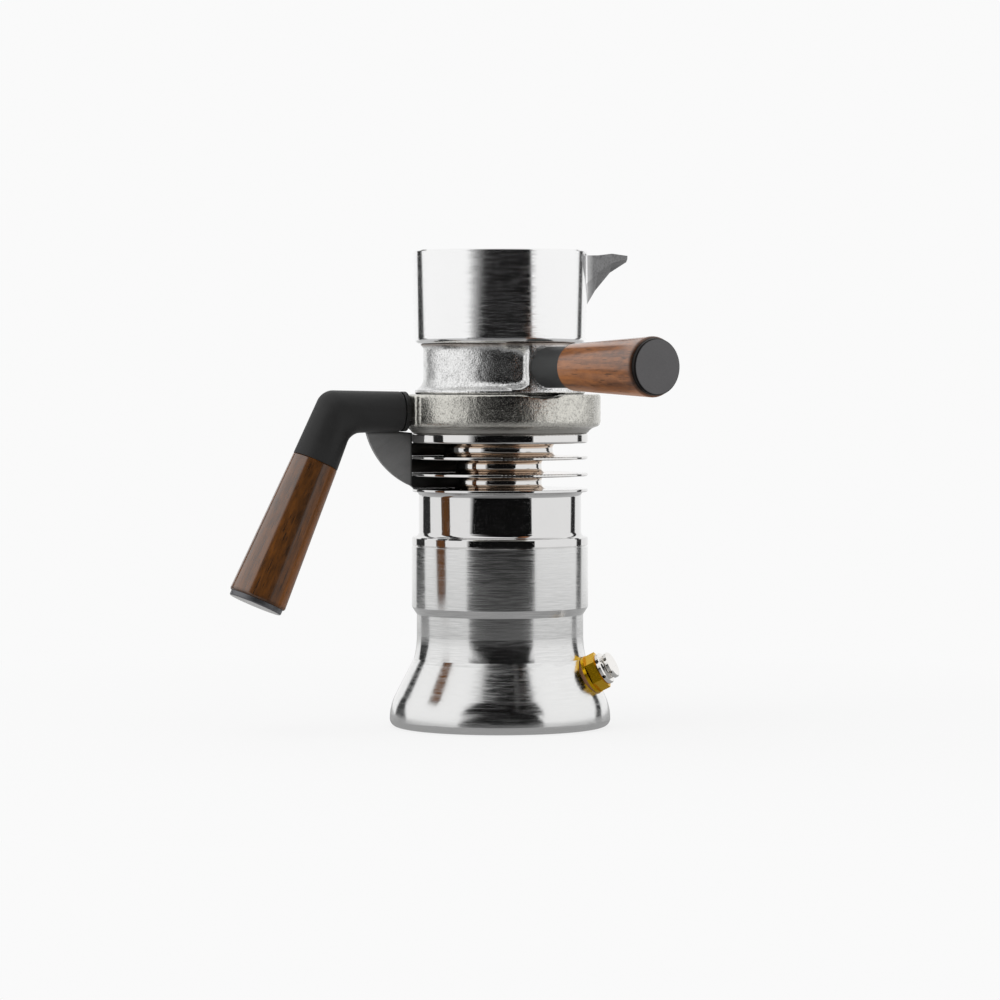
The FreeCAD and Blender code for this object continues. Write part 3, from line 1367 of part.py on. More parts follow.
doc.recompute()
for item in doc.Objects:
    if "Invalid" in item.State or "Error" in item.State:
        raise RuntimeError(f"{item.Name} failed: {item.State}")
os.makedirs("parts", exist_ok=True)
for part in SUB_PARTS:
    shape = part.Shape
    if shape.isNull() or not shape.isValid() or not shape.Solids:
        raise RuntimeError(f"{part.Label} has no valid solid")
    shape.exportStep(f"parts/{part.Label}.step")
    print(f"{part.Label}: {len(shape.Solids)} solid, {shape.Volume / 1000:.2f} cm3")
print(f"{len(SUB_PARTS)} sub-parts written")
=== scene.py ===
# %% [markdown]
# # A stovetop espresso maker, dressed for its portrait
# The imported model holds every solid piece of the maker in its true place. This lesson loads it as
# a fixed frame, lights it like a studio shot, gives each piece a finish made of nodes, and
# replaces the pieces whose real surface is softer or rougher than a solid can be.

import math

import bpy
from mathutils import Matrix, Vector


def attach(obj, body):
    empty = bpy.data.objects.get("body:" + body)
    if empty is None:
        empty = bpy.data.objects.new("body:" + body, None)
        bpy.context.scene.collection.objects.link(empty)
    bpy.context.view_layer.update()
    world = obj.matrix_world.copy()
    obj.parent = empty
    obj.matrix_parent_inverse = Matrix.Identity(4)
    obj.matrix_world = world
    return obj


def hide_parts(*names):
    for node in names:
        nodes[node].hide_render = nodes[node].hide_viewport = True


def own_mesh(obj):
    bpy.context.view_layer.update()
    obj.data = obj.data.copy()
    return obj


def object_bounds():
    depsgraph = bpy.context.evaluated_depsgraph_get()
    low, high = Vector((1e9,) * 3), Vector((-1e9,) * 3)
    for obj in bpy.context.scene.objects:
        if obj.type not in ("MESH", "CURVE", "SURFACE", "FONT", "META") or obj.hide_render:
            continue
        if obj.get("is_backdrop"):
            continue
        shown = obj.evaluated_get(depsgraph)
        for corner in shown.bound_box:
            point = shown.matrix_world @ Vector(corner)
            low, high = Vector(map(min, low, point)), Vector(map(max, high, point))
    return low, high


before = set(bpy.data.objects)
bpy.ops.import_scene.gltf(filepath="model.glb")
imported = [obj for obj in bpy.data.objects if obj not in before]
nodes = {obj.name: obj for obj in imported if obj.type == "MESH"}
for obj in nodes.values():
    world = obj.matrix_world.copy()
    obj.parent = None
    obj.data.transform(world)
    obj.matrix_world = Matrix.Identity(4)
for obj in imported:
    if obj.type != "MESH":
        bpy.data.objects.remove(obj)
cad_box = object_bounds()
print("pieces in the frame:", len(nodes))

# %% [markdown]
# ## Camera
# The picture was taken from far away, a little above the middle of the maker, so its edges hardly
# converge. A long lens gives that look. The camera stands in front, on the -Y side, and looks
# down by under two degrees.

# %% Camera
EYE = Vector((0, -1.706, 0.161))
AIM = Vector((0, 0, 0.1048))
LENS = 132.5
SENSOR = 36

bpy.ops.object.camera_add(location=EYE)
camera = bpy.context.object
camera.rotation_euler = (AIM - EYE).to_track_quat("-Z", "Y").to_euler()
camera.data.lens = LENS
camera.data.sensor_width = SENSOR
bpy.context.scene.camera = camera
bpy.context.scene.view_settings.view_transform = "Standard"
print("camera at", tuple(round(v, 3) for v in EYE))

# %% [markdown]
# ## Shader maths as Python
# A finish is a small graph of nodes. Adding each Math node by hand would be long to read, so a
# wire wraps a socket and overloads the arithmetic signs: `0.3 + grain * 0.2` adds the two nodes
# that this expression needs. Everything else comes from one method, `Finish.node`.

# %% A wire, and the finish that owns it
def plain(value):
    return not isinstance(value, Wire)


class Wire:
    """An output socket of a finish, which takes part in Python's arithmetic."""

    def __init__(self, finish, socket):
        self.finish = finish
        self.socket = socket

    def maths(self, operation, first, second):
        return self.finish.node("ShaderNodeMath", {"operation": operation}, {0: first, 1: second})

    def __add__(self, other):
        return self.maths("ADD", self, other)

    def __radd__(self, other):
        return self.maths("ADD", other, self)

    def __sub__(self, other):
        return self.maths("SUBTRACT", self, other)

    def __rsub__(self, other):
        return self.maths("SUBTRACT", other, self)

    def __mul__(self, other):
        return self.maths("MULTIPLY", self, other)

    def __rmul__(self, other):
        return self.maths("MULTIPLY", other, self)

    def __abs__(self):
        return self.maths("ABSOLUTE", self, 0.0)


class Finish:
    """A material, built node by node."""

    def __init__(self, name):
        self.material = bpy.data.materials.new(name)
        self.material.use_nodes = True
        self.tree = self.material.node_tree
        self.tree.nodes.clear()

    def node(self, kind, settings=None, inputs=None, output=0):
        made = self.tree.nodes.new(kind)
        for key, value in (settings or {}).items():
            setattr(made, key, value)
        for key, value in (inputs or {}).items():
            if plain(value):
                made.inputs[key].default_value = value
            else:
                self.tree.links.new(value.socket, made.inputs[key])
        return Wire(self, made.outputs[output]) if len(made.outputs) else None


# %% [markdown]
# What a finish needs again and again are short helpers: the piece's own coordinates, the same
# stretched and turned, the height and the radius they give, a noise, a ramp that picks a band of
# it, a mix of two colours, and the shader at the end.

# %% Texture helpers
def coordinates(finish):
    return finish.node("ShaderNodeTexCoord", output="Object")


def mapped(finish, vector, scale, turn=(0, 0, 0), shift=(0, 0, 0)):
    inputs = {"Vector": vector, "Scale": scale, "Rotation": turn, "Location": shift}
    return finish.node("ShaderNodeMapping", {"vector_type": "POINT"}, inputs)


def noise(finish, vector, scale=1.0, detail=2.0, rough=0.5, bend=0.0):
    inputs = {"Vector": vector, "Scale": scale, "Detail": detail, "Roughness": rough,
              "Distortion": bend}
    return finish.node("ShaderNodeTexNoise", {"noise_dimensions": "3D"}, inputs)


def band(finish, value, low, high, first=0.0, last=1.0):
    inputs = {"Value": value, "From Min": low, "From Max": high, "To Min": first, "To Max": last}
    return finish.node("ShaderNodeMapRange", {"clamp": True}, inputs)


def opaque(colour):
    """A plain colour gets the fourth number that its socket wants, and a wire stays as it is."""
    return (*colour, 1) if plain(colour) else colour


def mix(finish, factor, first, second):
    inputs = {0: factor, 6: opaque(first), 7: opaque(second)}
    return finish.node("ShaderNodeMix", {"data_type": "RGBA"}, inputs, output=2)


def bump(finish, height, distance):
    return finish.node("ShaderNodeBump", {}, {"Height": height, "Distance": distance})


def length(finish, vector):
    return finish.node("ShaderNodeVectorMath", {"operation": "LENGTH"}, {0: vector},
                       output="Value")


def part_of(finish, axis):
    """One of the three coordinates: X, Y or Z."""
    return finish.node("ShaderNodeSeparateXYZ", {}, {"Vector": coordinates(finish)}, output=axis)


def height_of(finish):
    return part_of(finish, "Z")


def flat_of(finish):
    """The place on a piece, seen from above: its height is left out."""
    return finish.node("ShaderNodeVectorMath", {"operation": "MULTIPLY"},
                       {0: coordinates(finish), 1: (1, 1, 0)})


def radius_of(finish):
    return length(finish, flat_of(finish))


def from_point(finish, point, operation, way):
    """The place on a piece, measured from a point, multiplied in one of two ways with a direction:
    DOT_PRODUCT gives how far it lies along it, CROSS_PRODUCT a vector as long as the gap to it."""
    moved = finish.node("ShaderNodeVectorMath", {"operation": "SUBTRACT"},
                        {0: coordinates(finish), 1: point})
    output = "Value" if operation == "DOT_PRODUCT" else "Vector"
    return finish.node("ShaderNodeVectorMath", {"operation": operation}, {0: moved, 1: way},
                       output=output)


def surface(finish, **inputs):
    """Close the finish with its shader. Names are the shader's own, with _ for a space."""
    named = {key.replace("_", " "): value for key, value in inputs.items()}
    named["Base Color"] = opaque(named["Base Color"])
    shader = finish.node("ShaderNodeBsdfPrincipled", {}, named)
    finish.node("ShaderNodeOutputMaterial", {}, {"Surface": shader})
    return finish.material


# %% [markdown]
# ## Turned aluminium
# The lower boiler is turned on a lathe and left brushed: fine rings run round it, and they
# stretch every reflection upwards. The rings come from a noise that changes slowly round the
# piece and very quickly along its height and its radius. Broader rings and soft clouds lie over
# the fine ones, because no brush leaves an even surface.

# %% Rings of a lathe
FINE_RINGS = (0.00018, 0.020)
BROAD_RINGS = (0.00045, 0.009)
RING_SHADES = (0.38, 0.62)
RING_GLOSS = (0.42, 0.60)
QUARTER = 0.25


def lathe_rings(finish, pitch, drift):
    """A noise in rings about Z: the pitch is metres from ring to ring, the drift along one."""
    flat = flat_of(finish)
    across = (height_of(finish) + length(finish, flat)) * (1 / pitch)
    lifted = finish.node("ShaderNodeCombineXYZ", {}, {"Z": across})
    along = mapped(finish, flat, (1 / drift, 1 / drift, 0))
    joined = finish.node("ShaderNodeVectorMath", {"operation": "ADD"}, {0: along, 1: lifted})
    return noise(finish, joined, detail=3.0, rough=0.6)


def turned_skin(finish, colour, gloss, spread, tint):
    """Colour, roughness and relief of a turned face, as three wires."""
    clouds = noise(finish, coordinates(finish), scale=28.0, detail=3.0)
    rings = lathe_rings(finish, *FINE_RINGS) * 0.4 + lathe_rings(finish, *BROAD_RINGS) * 0.6
    dark = tuple(c * (1 - tint * 2) for c in colour)
    shade = mix(finish, band(finish, rings, *RING_SHADES), dark, colour)
    rough = gloss + band(finish, rings, *RING_GLOSS) * spread + clouds * (spread * 0.2)
    return shade, rough, rings


def turned_surface(finish, shade, rough, rings, depth, anisotropy):
    """A turned face stretches reflections across its rings, so the stretch turns by a quarter."""
    return surface(finish, Base_Color=shade, Metallic=1.0, Roughness=rough,
                   Anisotropic=anisotropy, Anisotropic_Rotation=QUARTER,
                   Normal=bump(finish, rings, depth))


def turned_metal(name, colour, gloss, spread, depth, tint=0.06, anisotropy=0.75):
    finish = Finish(name)
    shade, rough, rings = turned_skin(finish, colour, gloss, spread, tint)
    return turned_surface(finish, shade, rough, rings, depth, anisotropy)


inner_steel = turned_metal("satin_inner_steel", (0.62, 0.61, 0.60), 0.22, 0.16, 0.000004)
print("turned finish:", inner_steel.name)

# %% [markdown]
# The lower boiler was turned in three passes: the flare at its foot is more even and a little
# rougher, the band above it mirrors more, and the straight wall shows its rings. So its finish
# asks for the height and shifts colour and roughness where one pass ends.

# %% Boiler aluminium
FLARE_TOP = 0.0300
BAND_TOP = 0.0392
PASS_EDGE = 0.0004


def boiler_finish():
    finish = Finish("turned_aluminium")
    shade, rough, rings = turned_skin(finish, (0.85, 0.85, 0.845), 0.12, 0.11, 0.09)
    height = height_of(finish)
    flare = band(finish, height, FLARE_TOP - PASS_EDGE, FLARE_TOP, 1.0, 0.0)
    below_band = band(finish, height, BAND_TOP - PASS_EDGE, BAND_TOP, 1.0, 0.0)
    shade = mix(finish, flare * 0.7, shade, (0.86, 0.86, 0.855))
    rough = rough * (1 + flare * 0.1) - below_band * 0.02
    return turned_surface(finish, shade, rough, rings, 0.000007, 0.7)


boiler_aluminium = boiler_finish()
print("boiler finish:", boiler_aluminium.name)

# %% [markdown]
# ## Polished steel
# The bell of the upper boiler and the cooling fins are polished like a mirror. A mirror is never
# perfect: hair-fine rings stay, thin clouds of wiping marks roughen it a little, and tiny grains
# of the steel sparkle in its dark parts. Light that bounces many times between the fins turns
# warm, because steel swallows a little more blue each time, so that warm light is painted into
# the grooves' colour, apart from the middle of each, where the core mirrors the room straight out.

# %% Polished steel
GROOVE_MIDDLES = (0.11315, 0.1206, 0.1281)
GROOVE_RADII = (0.0375, 0.0350)
MIDDLE_EDGE = (0.0008, 0.0012)
MIRROR_RINGS = (0.00025, 0.05)


def polished_metal(name, colour, gloss, depth, groove_bounce=None):
    finish = Finish(name)
    fine = lathe_rings(finish, *MIRROR_RINGS)
    wiped = noise(finish, coordinates(finish), scale=60.0, detail=4.0, bend=0.6)
    grains = noise(finish, coordinates(finish), scale=2300.0, detail=1.0)
    shade = mix(finish, wiped, tuple(c * 0.94 for c in colour), colour)
    # Painted reflection: the warm light of bounces between the fins goes into the grooves' colour.
    if groove_bounce:
        inside = band(finish, radius_of(finish), *GROOVE_RADII)
        height = height_of(finish)
        for middle in GROOVE_MIDDLES:
            inside = inside * band(finish, abs(height - middle), *MIDDLE_EDGE)
        shade = mix(finish, inside, shade, groove_bounce)
    rough = (gloss + band(finish, wiped, 0.45, 0.75) * 0.04 + fine * 0.03
             + band(finish, grains, 0.60, 0.72) * 0.16)
    return surface(finish, Base_Color=shade, Metallic=1.0, Roughness=rough,
                   Normal=bump(finish, fine, depth))


polished_steel = polished_metal("polished_steel", (0.76, 0.755, 0.75), 0.02, 0.0000012)
fin_steel = polished_metal("fin_steel", (0.78, 0.77, 0.76), 0.02, 0.0000012,
                           groove_bounce=(0.74, 0.65, 0.57))
nickel = polished_metal("nickel_plate", (0.92, 0.90, 0.87), 0.06, 0.0000020)
print("polished finishes:", polished_steel.name, fin_steel.name, nickel.name)

# %% [markdown]
# ## Cast steel
# The clamp ring and the collector's neck keep the skin that they had in the mould: small pits,
# grains and shallow lumps, blasted and then half polished. Lumps are a soft noise, the grain is a
# fine one, and pits are a Voronoi texture cut off near its cell centres. A band of height may be
# darkened with painted shade, where the ring's underside and the neck's top under the cup lie in
# shadow.

# %% Cast skin
RING_SHADE_HEIGHTS = (0.1392, 0.1380)
NECK_SHADE_HEIGHTS = (0.1752, 0.1768)


def cast_skin(finish):
    """Height of a cast skin and how open its pits are, as two wires."""
    where = coordinates(finish)
    lumps = noise(finish, where, scale=230.0, detail=3.0, rough=0.55, bend=0.4)
    grain = noise(finish, where, scale=1150.0, detail=3.0, rough=0.65)
    cells = finish.node("ShaderNodeTexVoronoi", {"feature": "F1"},
                        {"Vector": where, "Scale": 700.0, "Randomness": 1.0})
    pits = band(finish, cells, 0.12, 0.36)
    return lumps * 0.32 + grain * 0.58 + pits * 0.10, pits


def cast_metal(name, colour, gloss, depth, shade_colour, lit_height, shaded_height):
    """The shade colour is painted shade, and it grows from the lit height to the shaded one."""
    finish = Finish(name)
    height, pits = cast_skin(finish)
    worn = mix(finish, band(finish, height, 0.36, 0.58), tuple(c * 0.52 for c in colour), colour)
    # Painted shade: a band of height, at the ring's underside or the neck's top, turns darker.
    painted_shade = band(finish, height_of(finish), lit_height, shaded_height)
    shade = mix(finish, painted_shade * 0.85, worn, shade_colour)
    rough = gloss + height * 0.14 + (1 - pits) * 0.10 + painted_shade * 0.15
    return surface(finish, Base_Color=shade, Metallic=1.0, Roughness=rough,
                   Normal=bump(finish, height, depth))


ring_steel = cast_metal("cast_ring_steel", (0.72, 0.705, 0.65), 0.10, 0.00032,
                        (0.36, 0.35, 0.33), *RING_SHADE_HEIGHTS)
neck_steel = cast_metal("cast_neck_steel", (0.90, 0.90, 0.895), 0.13, 0.00026,
                        (0.30, 0.24, 0.20), *NECK_SHADE_HEIGHTS)
print("cast finishes:", ring_steel.name, neck_steel.name)

# %% [markdown]
# ## The cup's own steel
# The cup is turned bright after casting, so it is paler and its gloss is higher than the
# boiler's. The spout stands further out than the lathe's tool could reach: it keeps its dull cast
# skin, whose dark grey is partly painted shade on its flat side, and the radius tells where that
# begins. The fillet where the spout meets the cup carries a painted highlight.

# %% Cup steel
CUP_RADIUS = 0.0406
SPOUT_STARTS = (CUP_RADIUS + 0.0001, CUP_RADIUS + 0.0004)
FILLET_HIGHLIGHT_ENDS = (CUP_RADIUS + 0.0028, CUP_RADIUS + 0.0008)


def cup_finish():
    finish = Finish("cup_steel")
    shade, rough, rings = turned_skin(finish, (0.97, 0.97, 0.97), 0.07, 0.16, 0.02)
    radius = radius_of(finish)
    cast = band(finish, radius, *SPOUT_STARTS)
    fillet_highlight = band(finish, radius, *FILLET_HIGHLIGHT_ENDS)
    skin, pits = cast_skin(finish)
    # The spout's dark grey is partly its cast skin and partly painted shade.
    grey = mix(finish, band(finish, skin, 0.35, 0.60), (0.15, 0.15, 0.152), (0.25, 0.25, 0.252))
    # Painted highlight: the fillet next to the cup wall is lighter.
    grey = mix(finish, fillet_highlight * 0.7, grey, (0.62, 0.62, 0.62))
    shade = mix(finish, cast, shade, grey)
    rough = rough + cast * (0.22 + (1 - pits) * 0.1)
    return turned_surface(finish, shade, rough, rings, 0.000004, 0.75)


cup_steel = cup_finish()
print("cup finish:", cup_steel.name)

# %% [markdown]
# ## Walnut
# Oiled dark walnut has long fibres, darker growth bands that wander, and short pores that catch
# the light. All of them run along the grip, so the texture is first turned until its Z axis lies
# along the grip, and then squeezed along that axis. A hard clear lacquer lies over the wood: its
# coat mirrors the white tent as a pale sheen, which is what makes it look wet. The lacquer is
# thinner on the side that the palm rubs. A painted stripe of warm bounce light runs down that
# side, and the end before the cap is painted darker, as shade where the grip rounds off.

# %% Walnut
ARM_TURN = math.radians(201)
ARM_HEIGHT = 0.146
BEND_REACH = 0.0799
LEG_TILT = math.radians(24)
COLLECTOR_TURN = math.radians(-55)
BOUNCE_LIGHT_SIDE = (0.0095, 0.0125)
LACQUER_SIDE = (-0.0030, 0.0060)
THIN_LACQUER = 0.35
MAIN_END = 0.0935
COLLECTOR_END = 0.1175
END_FADE = 0.0022
BEND = Vector((BEND_REACH * math.cos(ARM_TURN), BEND_REACH * math.sin(ARM_TURN), ARM_HEIGHT))
LEG_WAY = Vector((math.sin(LEG_TILT) * math.cos(ARM_TURN),
                  math.sin(LEG_TILT) * math.sin(ARM_TURN), -math.cos(LEG_TILT)))
COLLECTOR_AXIS = Vector((0, 0, 0.1662))
COLLECTOR_WAY = Vector((math.cos(COLLECTOR_TURN), math.sin(COLLECTOR_TURN), 0))


def walnut(name, grip, turn, shift, dark, light, lacquer, shine):
    """A grip is a point on its axis, the axis, a direction across it, and where its end darkens.

    Lacquer is its refractive index, and shine is the Specular IOR Level of the wood below it.
    """
    start, way, across, end = grip
    finish = Finish(name)
    straight = mapped(finish, coordinates(finish), (1, 1, 1), turn, shift)
    slow = noise(finish, mapped(finish, straight, (60, 60, 9)), detail=3.0, bend=0.8)
    warp = finish.node("ShaderNodeVectorMath", {"operation": "SCALE"}, {0: slow, "Scale": 0.012})
    bent = finish.node("ShaderNodeVectorMath", {"operation": "ADD"}, {0: straight, 1: warp})
    bands = noise(finish, mapped(finish, bent, (210, 90, 7)), detail=5.0, rough=0.6)
    fibres = noise(finish, mapped(finish, straight, (1900, 1900, 60)), detail=3.0, rough=0.7)
    mottle = noise(finish, mapped(finish, straight, (520, 520, 160)), detail=4.0, rough=0.6)
    pores = band(finish, noise(finish, mapped(finish, straight, (1500, 1500, 110)), detail=2.0),
                 0.60, 0.70)
    ground = mix(finish, band(finish, bands * 0.65 + mottle * 0.35, 0.38, 0.62), dark, light)
    side = from_point(finish, start, "DOT_PRODUCT", across)
    # Painted warm bounce light: the side that faces the boiler and the floor is lighter.
    painted_bounce = band(finish, side + slow * 0.003, *BOUNCE_LIGHT_SIDE)
    ground = mix(finish, painted_bounce * 0.4, ground, tuple(l * 2.0 for l in light))
    streaked = mix(finish, fibres * 0.45, ground, tuple((d + l) / 2 for d, l in zip(dark, light)))
    shade = mix(finish, pores * 0.7, streaked, tuple(d * 0.4 for d in dark))
    along = from_point(finish, start, "DOT_PRODUCT", way)
    # Painted shade: the end before the cap, where the grip rounds off, is darker and its coat
    # thinner.
    end_shade = band(finish, along, end - END_FADE, end)
    shade = mix(finish, end_shade * 0.8, shade, tuple(d * 0.3 for d in dark))
    rough = 0.34 + fibres * 0.18 + pores * 0.15
    relief = fibres * 0.4 + (1 - pores) * 0.6
    coat = band(finish, side + slow * 0.002, *LACQUER_SIDE, 1.0, THIN_LACQUER)
    return surface(finish, Base_Color=shade, Metallic=0.0, Roughness=rough,
                   Coat_Weight=coat * (1 - end_shade * 0.6), Coat_Roughness=0.15,
                   Coat_IOR=lacquer, Specular_IOR_Level=shine,
                   Normal=bump(finish, relief, 0.00003))


def grain_turn(turn, tilt):
    """The Euler angles that lay the direction of a grip along Z."""
    return (Matrix.Rotation(tilt, 3, "Y") @ Matrix.Rotation(-turn, 3, "Z")).to_euler()


MAIN_GRIP = (BEND, LEG_WAY, LEG_WAY.cross(Vector((0, 1, 0))).normalized(), MAIN_END)
COLLECTOR_GRIP = (COLLECTOR_AXIS, COLLECTOR_WAY, Vector((0, 0, -1)), COLLECTOR_END)
main_walnut = walnut("main_walnut", MAIN_GRIP, grain_turn(ARM_TURN, LEG_TILT),
                     (0.013, 0.004, 0.31), (0.022, 0.008, 0.0012), (0.165, 0.052, 0.003), 2.0,
                     0.15)
collector_walnut = walnut("collector_walnut", COLLECTOR_GRIP,
                          grain_turn(COLLECTOR_TURN, math.radians(-90)), (0.002, 0.017, 0.05),
                          (0.040, 0.012, 0.004), (0.38, 0.135, 0.034), 1.6, 0.5)
print("walnut for the grips:", main_walnut.name, collector_walnut.name)

# %% [markdown]
# ## Small parts
# Brass is a warm mirror with soft turning marks. The arm's coating is a satin black skin with a
# fine orange-peel surface. The guard is pressed sheet in a grey satin, painted black as shadow
# between the fins and at its root under the ring. The gaskets are pale silicone and the washer is
# pressed fibre. Each has a fine relief and a roughness that drifts.

# %% Brass, coatings, caps, rubber
CAP_RIM = 0.0122
RIM_EDGE = 0.0003
GUARD_SHADOW_RADII = (0.0418, 0.0408)
GUARD_SHADOW_HEIGHTS = (0.1350, 0.1364)


def coated_skin(finish, colour, gloss, spread, size):
    """A skin that isn't turned: an even colour with fine peel and soft wiping marks."""
    where = coordinates(finish)
    peel = noise(finish, where, scale=size, detail=3.0, rough=0.6)
    wiped = noise(finish, where, scale=size * 0.05, detail=3.0, bend=0.5)
    light = tuple(min(1.0, c * 1.25) for c in colour)
    shade = mix(finish, band(finish, wiped * 0.6 + peel * 0.4, 0.35, 0.65), colour, light)
    return shade, gloss + wiped * spread, peel


def coated(name, colour, gloss, spread, size, depth):
    finish = Finish(name)
    shade, rough, peel = coated_skin(finish, colour, gloss, spread, size)
    return surface(finish, Base_Color=shade, Metallic=0.0, Roughness=rough,
                   Specular_IOR_Level=0.28, Normal=bump(finish, peel, depth))


def guard_finish():
    """Grey satin sheet with painted shadow: black between the fins and at its root under the ring.
    """
    finish = Finish("guard_black")
    shade, rough, peel = coated_skin(finish, (0.17, 0.17, 0.17), 0.36, 0.20, 1800.0)
    # Painted shadow: black between the fins and at the root under the ring.
    shade = mix(finish, band(finish, radius_of(finish), *GUARD_SHADOW_RADII), shade, (0.004,) * 3)
    shade = mix(finish, band(finish, height_of(finish), *GUARD_SHADOW_HEIGHTS), shade, (0.008,) * 3)
    return surface(finish, Base_Color=shade, Metallic=0.0, Roughness=rough,
                   Normal=bump(finish, peel, 0.00003))


def brushed_cap(name, colour, edge, turn, grip):
    """A flat cap, brushed in one direction across its face, with a darker edge beyond its rim."""
    finish = Finish(name)
    laid = mapped(finish, coordinates(finish), (1, 1, 1), turn)
    strokes = noise(finish, mapped(finish, laid, (420, 5200, 5200)), detail=3.0, rough=0.65)
    clouds = noise(finish, laid, scale=120.0, detail=2.0)
    dark = tuple(c * 0.7 for c in colour)
    shade = mix(finish, band(finish, strokes, 0.3, 0.7), dark, colour)
    out = length(finish, from_point(finish, grip[0], "CROSS_PRODUCT", grip[1]))
    shade = mix(finish, band(finish, out, CAP_RIM - RIM_EDGE, CAP_RIM), shade, edge)
    rough = 0.26 + strokes * 0.22 + clouds * 0.08
    return surface(finish, Base_Color=shade, Metallic=1.0, Roughness=rough,
                   Normal=bump(finish, strokes, 0.00003))


gold_brass = turned_metal("gold_brass", (0.82, 0.47, 0.010), 0.12, 0.14, 0.000004, tint=0.08,
                          anisotropy=0.2)
black_coat = coated("black_coat", (0.016, 0.016, 0.016), 0.40, 0.14, 2400.0, 0.00003)
ferrule_black = coated("ferrule_black", (0.034, 0.035, 0.035), 0.42, 0.16, 2400.0, 0.00003)
guard_black = guard_finish()
silicone = coated("silicone", (0.70, 0.68, 0.65), 0.45, 0.15, 900.0, 0.00002)
fibre = coated("pressed_fibre", (0.20, 0.10, 0.05), 0.65, 0.20, 1500.0, 0.00010)
cap_grey = brushed_cap("cap_grey", (0.150, 0.147, 0.150), (0.020, 0.018, 0.017),
                       grain_turn(COLLECTOR_TURN, 0), COLLECTOR_GRIP)
cap_steel = brushed_cap("cap_steel", (0.90, 0.89, 0.88), (0.17, 0.17, 0.18),
                        grain_turn(ARM_TURN, LEG_TILT), MAIN_GRIP)
print("small finishes:", gold_brass.name, black_coat.name, fibre.name)

# %% [markdown]
# ## Every solid gets its finish
# The nodes keep their shape, so a finish simply takes the place of the plain material in their
# slots. One table says which finish belongs to which piece.

# %% Finishes by piece
FINISHES = {
    boiler_aluminium: ["lower_boiler"],
    polished_steel: ["upper_boiler"],
    fin_steel: ["heat_sink"],
    cup_steel: ["collector_cup"],
    ring_steel: ["clamp_ring"],
    neck_steel: ["collector_neck"],
    nickel: ["relief_valve_cap", "relief_valve_plunger"],
    gold_brass: ["relief_valve_body"],
    fibre: ["relief_valve_washer"],
    silicone: ["relief_valve_seal", "boiler_gasket", "valve_housing_gasket",
               "lower_basket_gasket", "upper_gasket"],
    inner_steel: ["relief_valve_spring", "valve_housing", "valve_seat", "valve_poppet",
                  "valve_spring", "spring_retainer", "dip_tube", "dip_tube_nut",
                  "clamp_ring_screws", "shower_screen", "filter_basket", "upper_screen",
                  "outlet_column", "column_cap", "handle_stud", "main_rod", "collector_rod"],
    black_coat: ["handle_elbow"],
    ferrule_black: ["collector_ferrule"],
    guard_black: ["hand_guard"],
    main_walnut: ["main_grip"],
    collector_walnut: ["collector_grip"],
    cap_grey: ["collector_grip_cap"],
    cap_steel: ["main_grip_cap"],
}
for finish, names in FINISHES.items():
    for name in names:
        for material_slot in nodes[name].material_slots:
            material_slot.material = finish
plain_nodes = set(nodes) - {name for names in FINISHES.values() for name in names}
print("pieces without a finish:", sorted(plain_nodes))

# %% [markdown]
# ## Working by hand in edit mode
# New pieces are made as a person would at the screen: everything is deselected, a primitive is
# added in its place, and then faces or edges are picked by where they are. One more helper gives
# a finished piece its look and its place among the others.

# %% Picking and dressing
def only(piece):
    """Select one object alone and make it active."""
    bpy.ops.object.select_all(action="DESELECT")
    piece.select_set(True)
    bpy.context.view_layer.objects.active = piece


def pick(piece, kind, wanted):
    """In edit mode, select just the wanted parts of one kind: vertices, edges or polygons."""
    bpy.ops.mesh.select_all(action="DESELECT")
    bpy.ops.object.mode_set(mode="OBJECT")
    mesh = piece.data
    for part in getattr(mesh, kind):
        part.select = wanted(part, mesh)
    bpy.ops.object.mode_set(mode="EDIT")


def dress(piece, finish, body, slot, *stands_for):
    piece.data.materials.clear()
    piece.data.materials.append(finish)
    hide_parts(*stands_for)
    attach(piece, body)
    print(piece.name, "has", len(piece.data.polygons), "faces")


# %% [markdown]
# ## The elbow of the main handle
# The arm leaves the ring level, turns once and goes down into the grip. The real one is a tube
# bend with a tight corner, a little thicker at the corner than at the root. It could be swept
# along a curve, but a circle that is extruded twice and then bevelled at the corner keeps the
# crisp turn: the bevel's width is the corner's softness. It is drawn in the XZ plane and then
# turned into place about the axis of the maker.

# %% Elbow
ARM_START = 0.0487
LEG_LENGTH = 0.0249
ROOT_RADIUS = 0.00915
BEND_RADIUS = 0.00985
GRIP_RADIUS = 0.01075
CORNER_SOFTNESS = 0.0045
ROOT_EDGE = 0.0012
END_EDGE = 0.0004
RING_SIDES = 96
ON_PLANE = 1e-5
MITRE = (math.radians(90) - LEG_TILT) / 2

arm_start = Vector((ARM_START, 0, ARM_HEIGHT))
bend = Vector((BEND_REACH, 0, ARM_HEIGHT))
leg_way = Vector((math.sin(LEG_TILT), 0, -math.cos(LEG_TILT)))
leg_end = bend + leg_way * LEG_LENGTH


def next_ring(step, wide, tall, turn, centre):
    """Extrude the picked upright ring by a step, then scale it across and upwards, and tilt it."""
    bpy.ops.mesh.extrude_region_move(TRANSFORM_OT_translate={"value": step})
    bpy.ops.transform.resize(value=(1, wide, tall), center_override=centre)
    bpy.ops.transform.rotate(value=-turn, orient_axis="Y", center_override=centre)


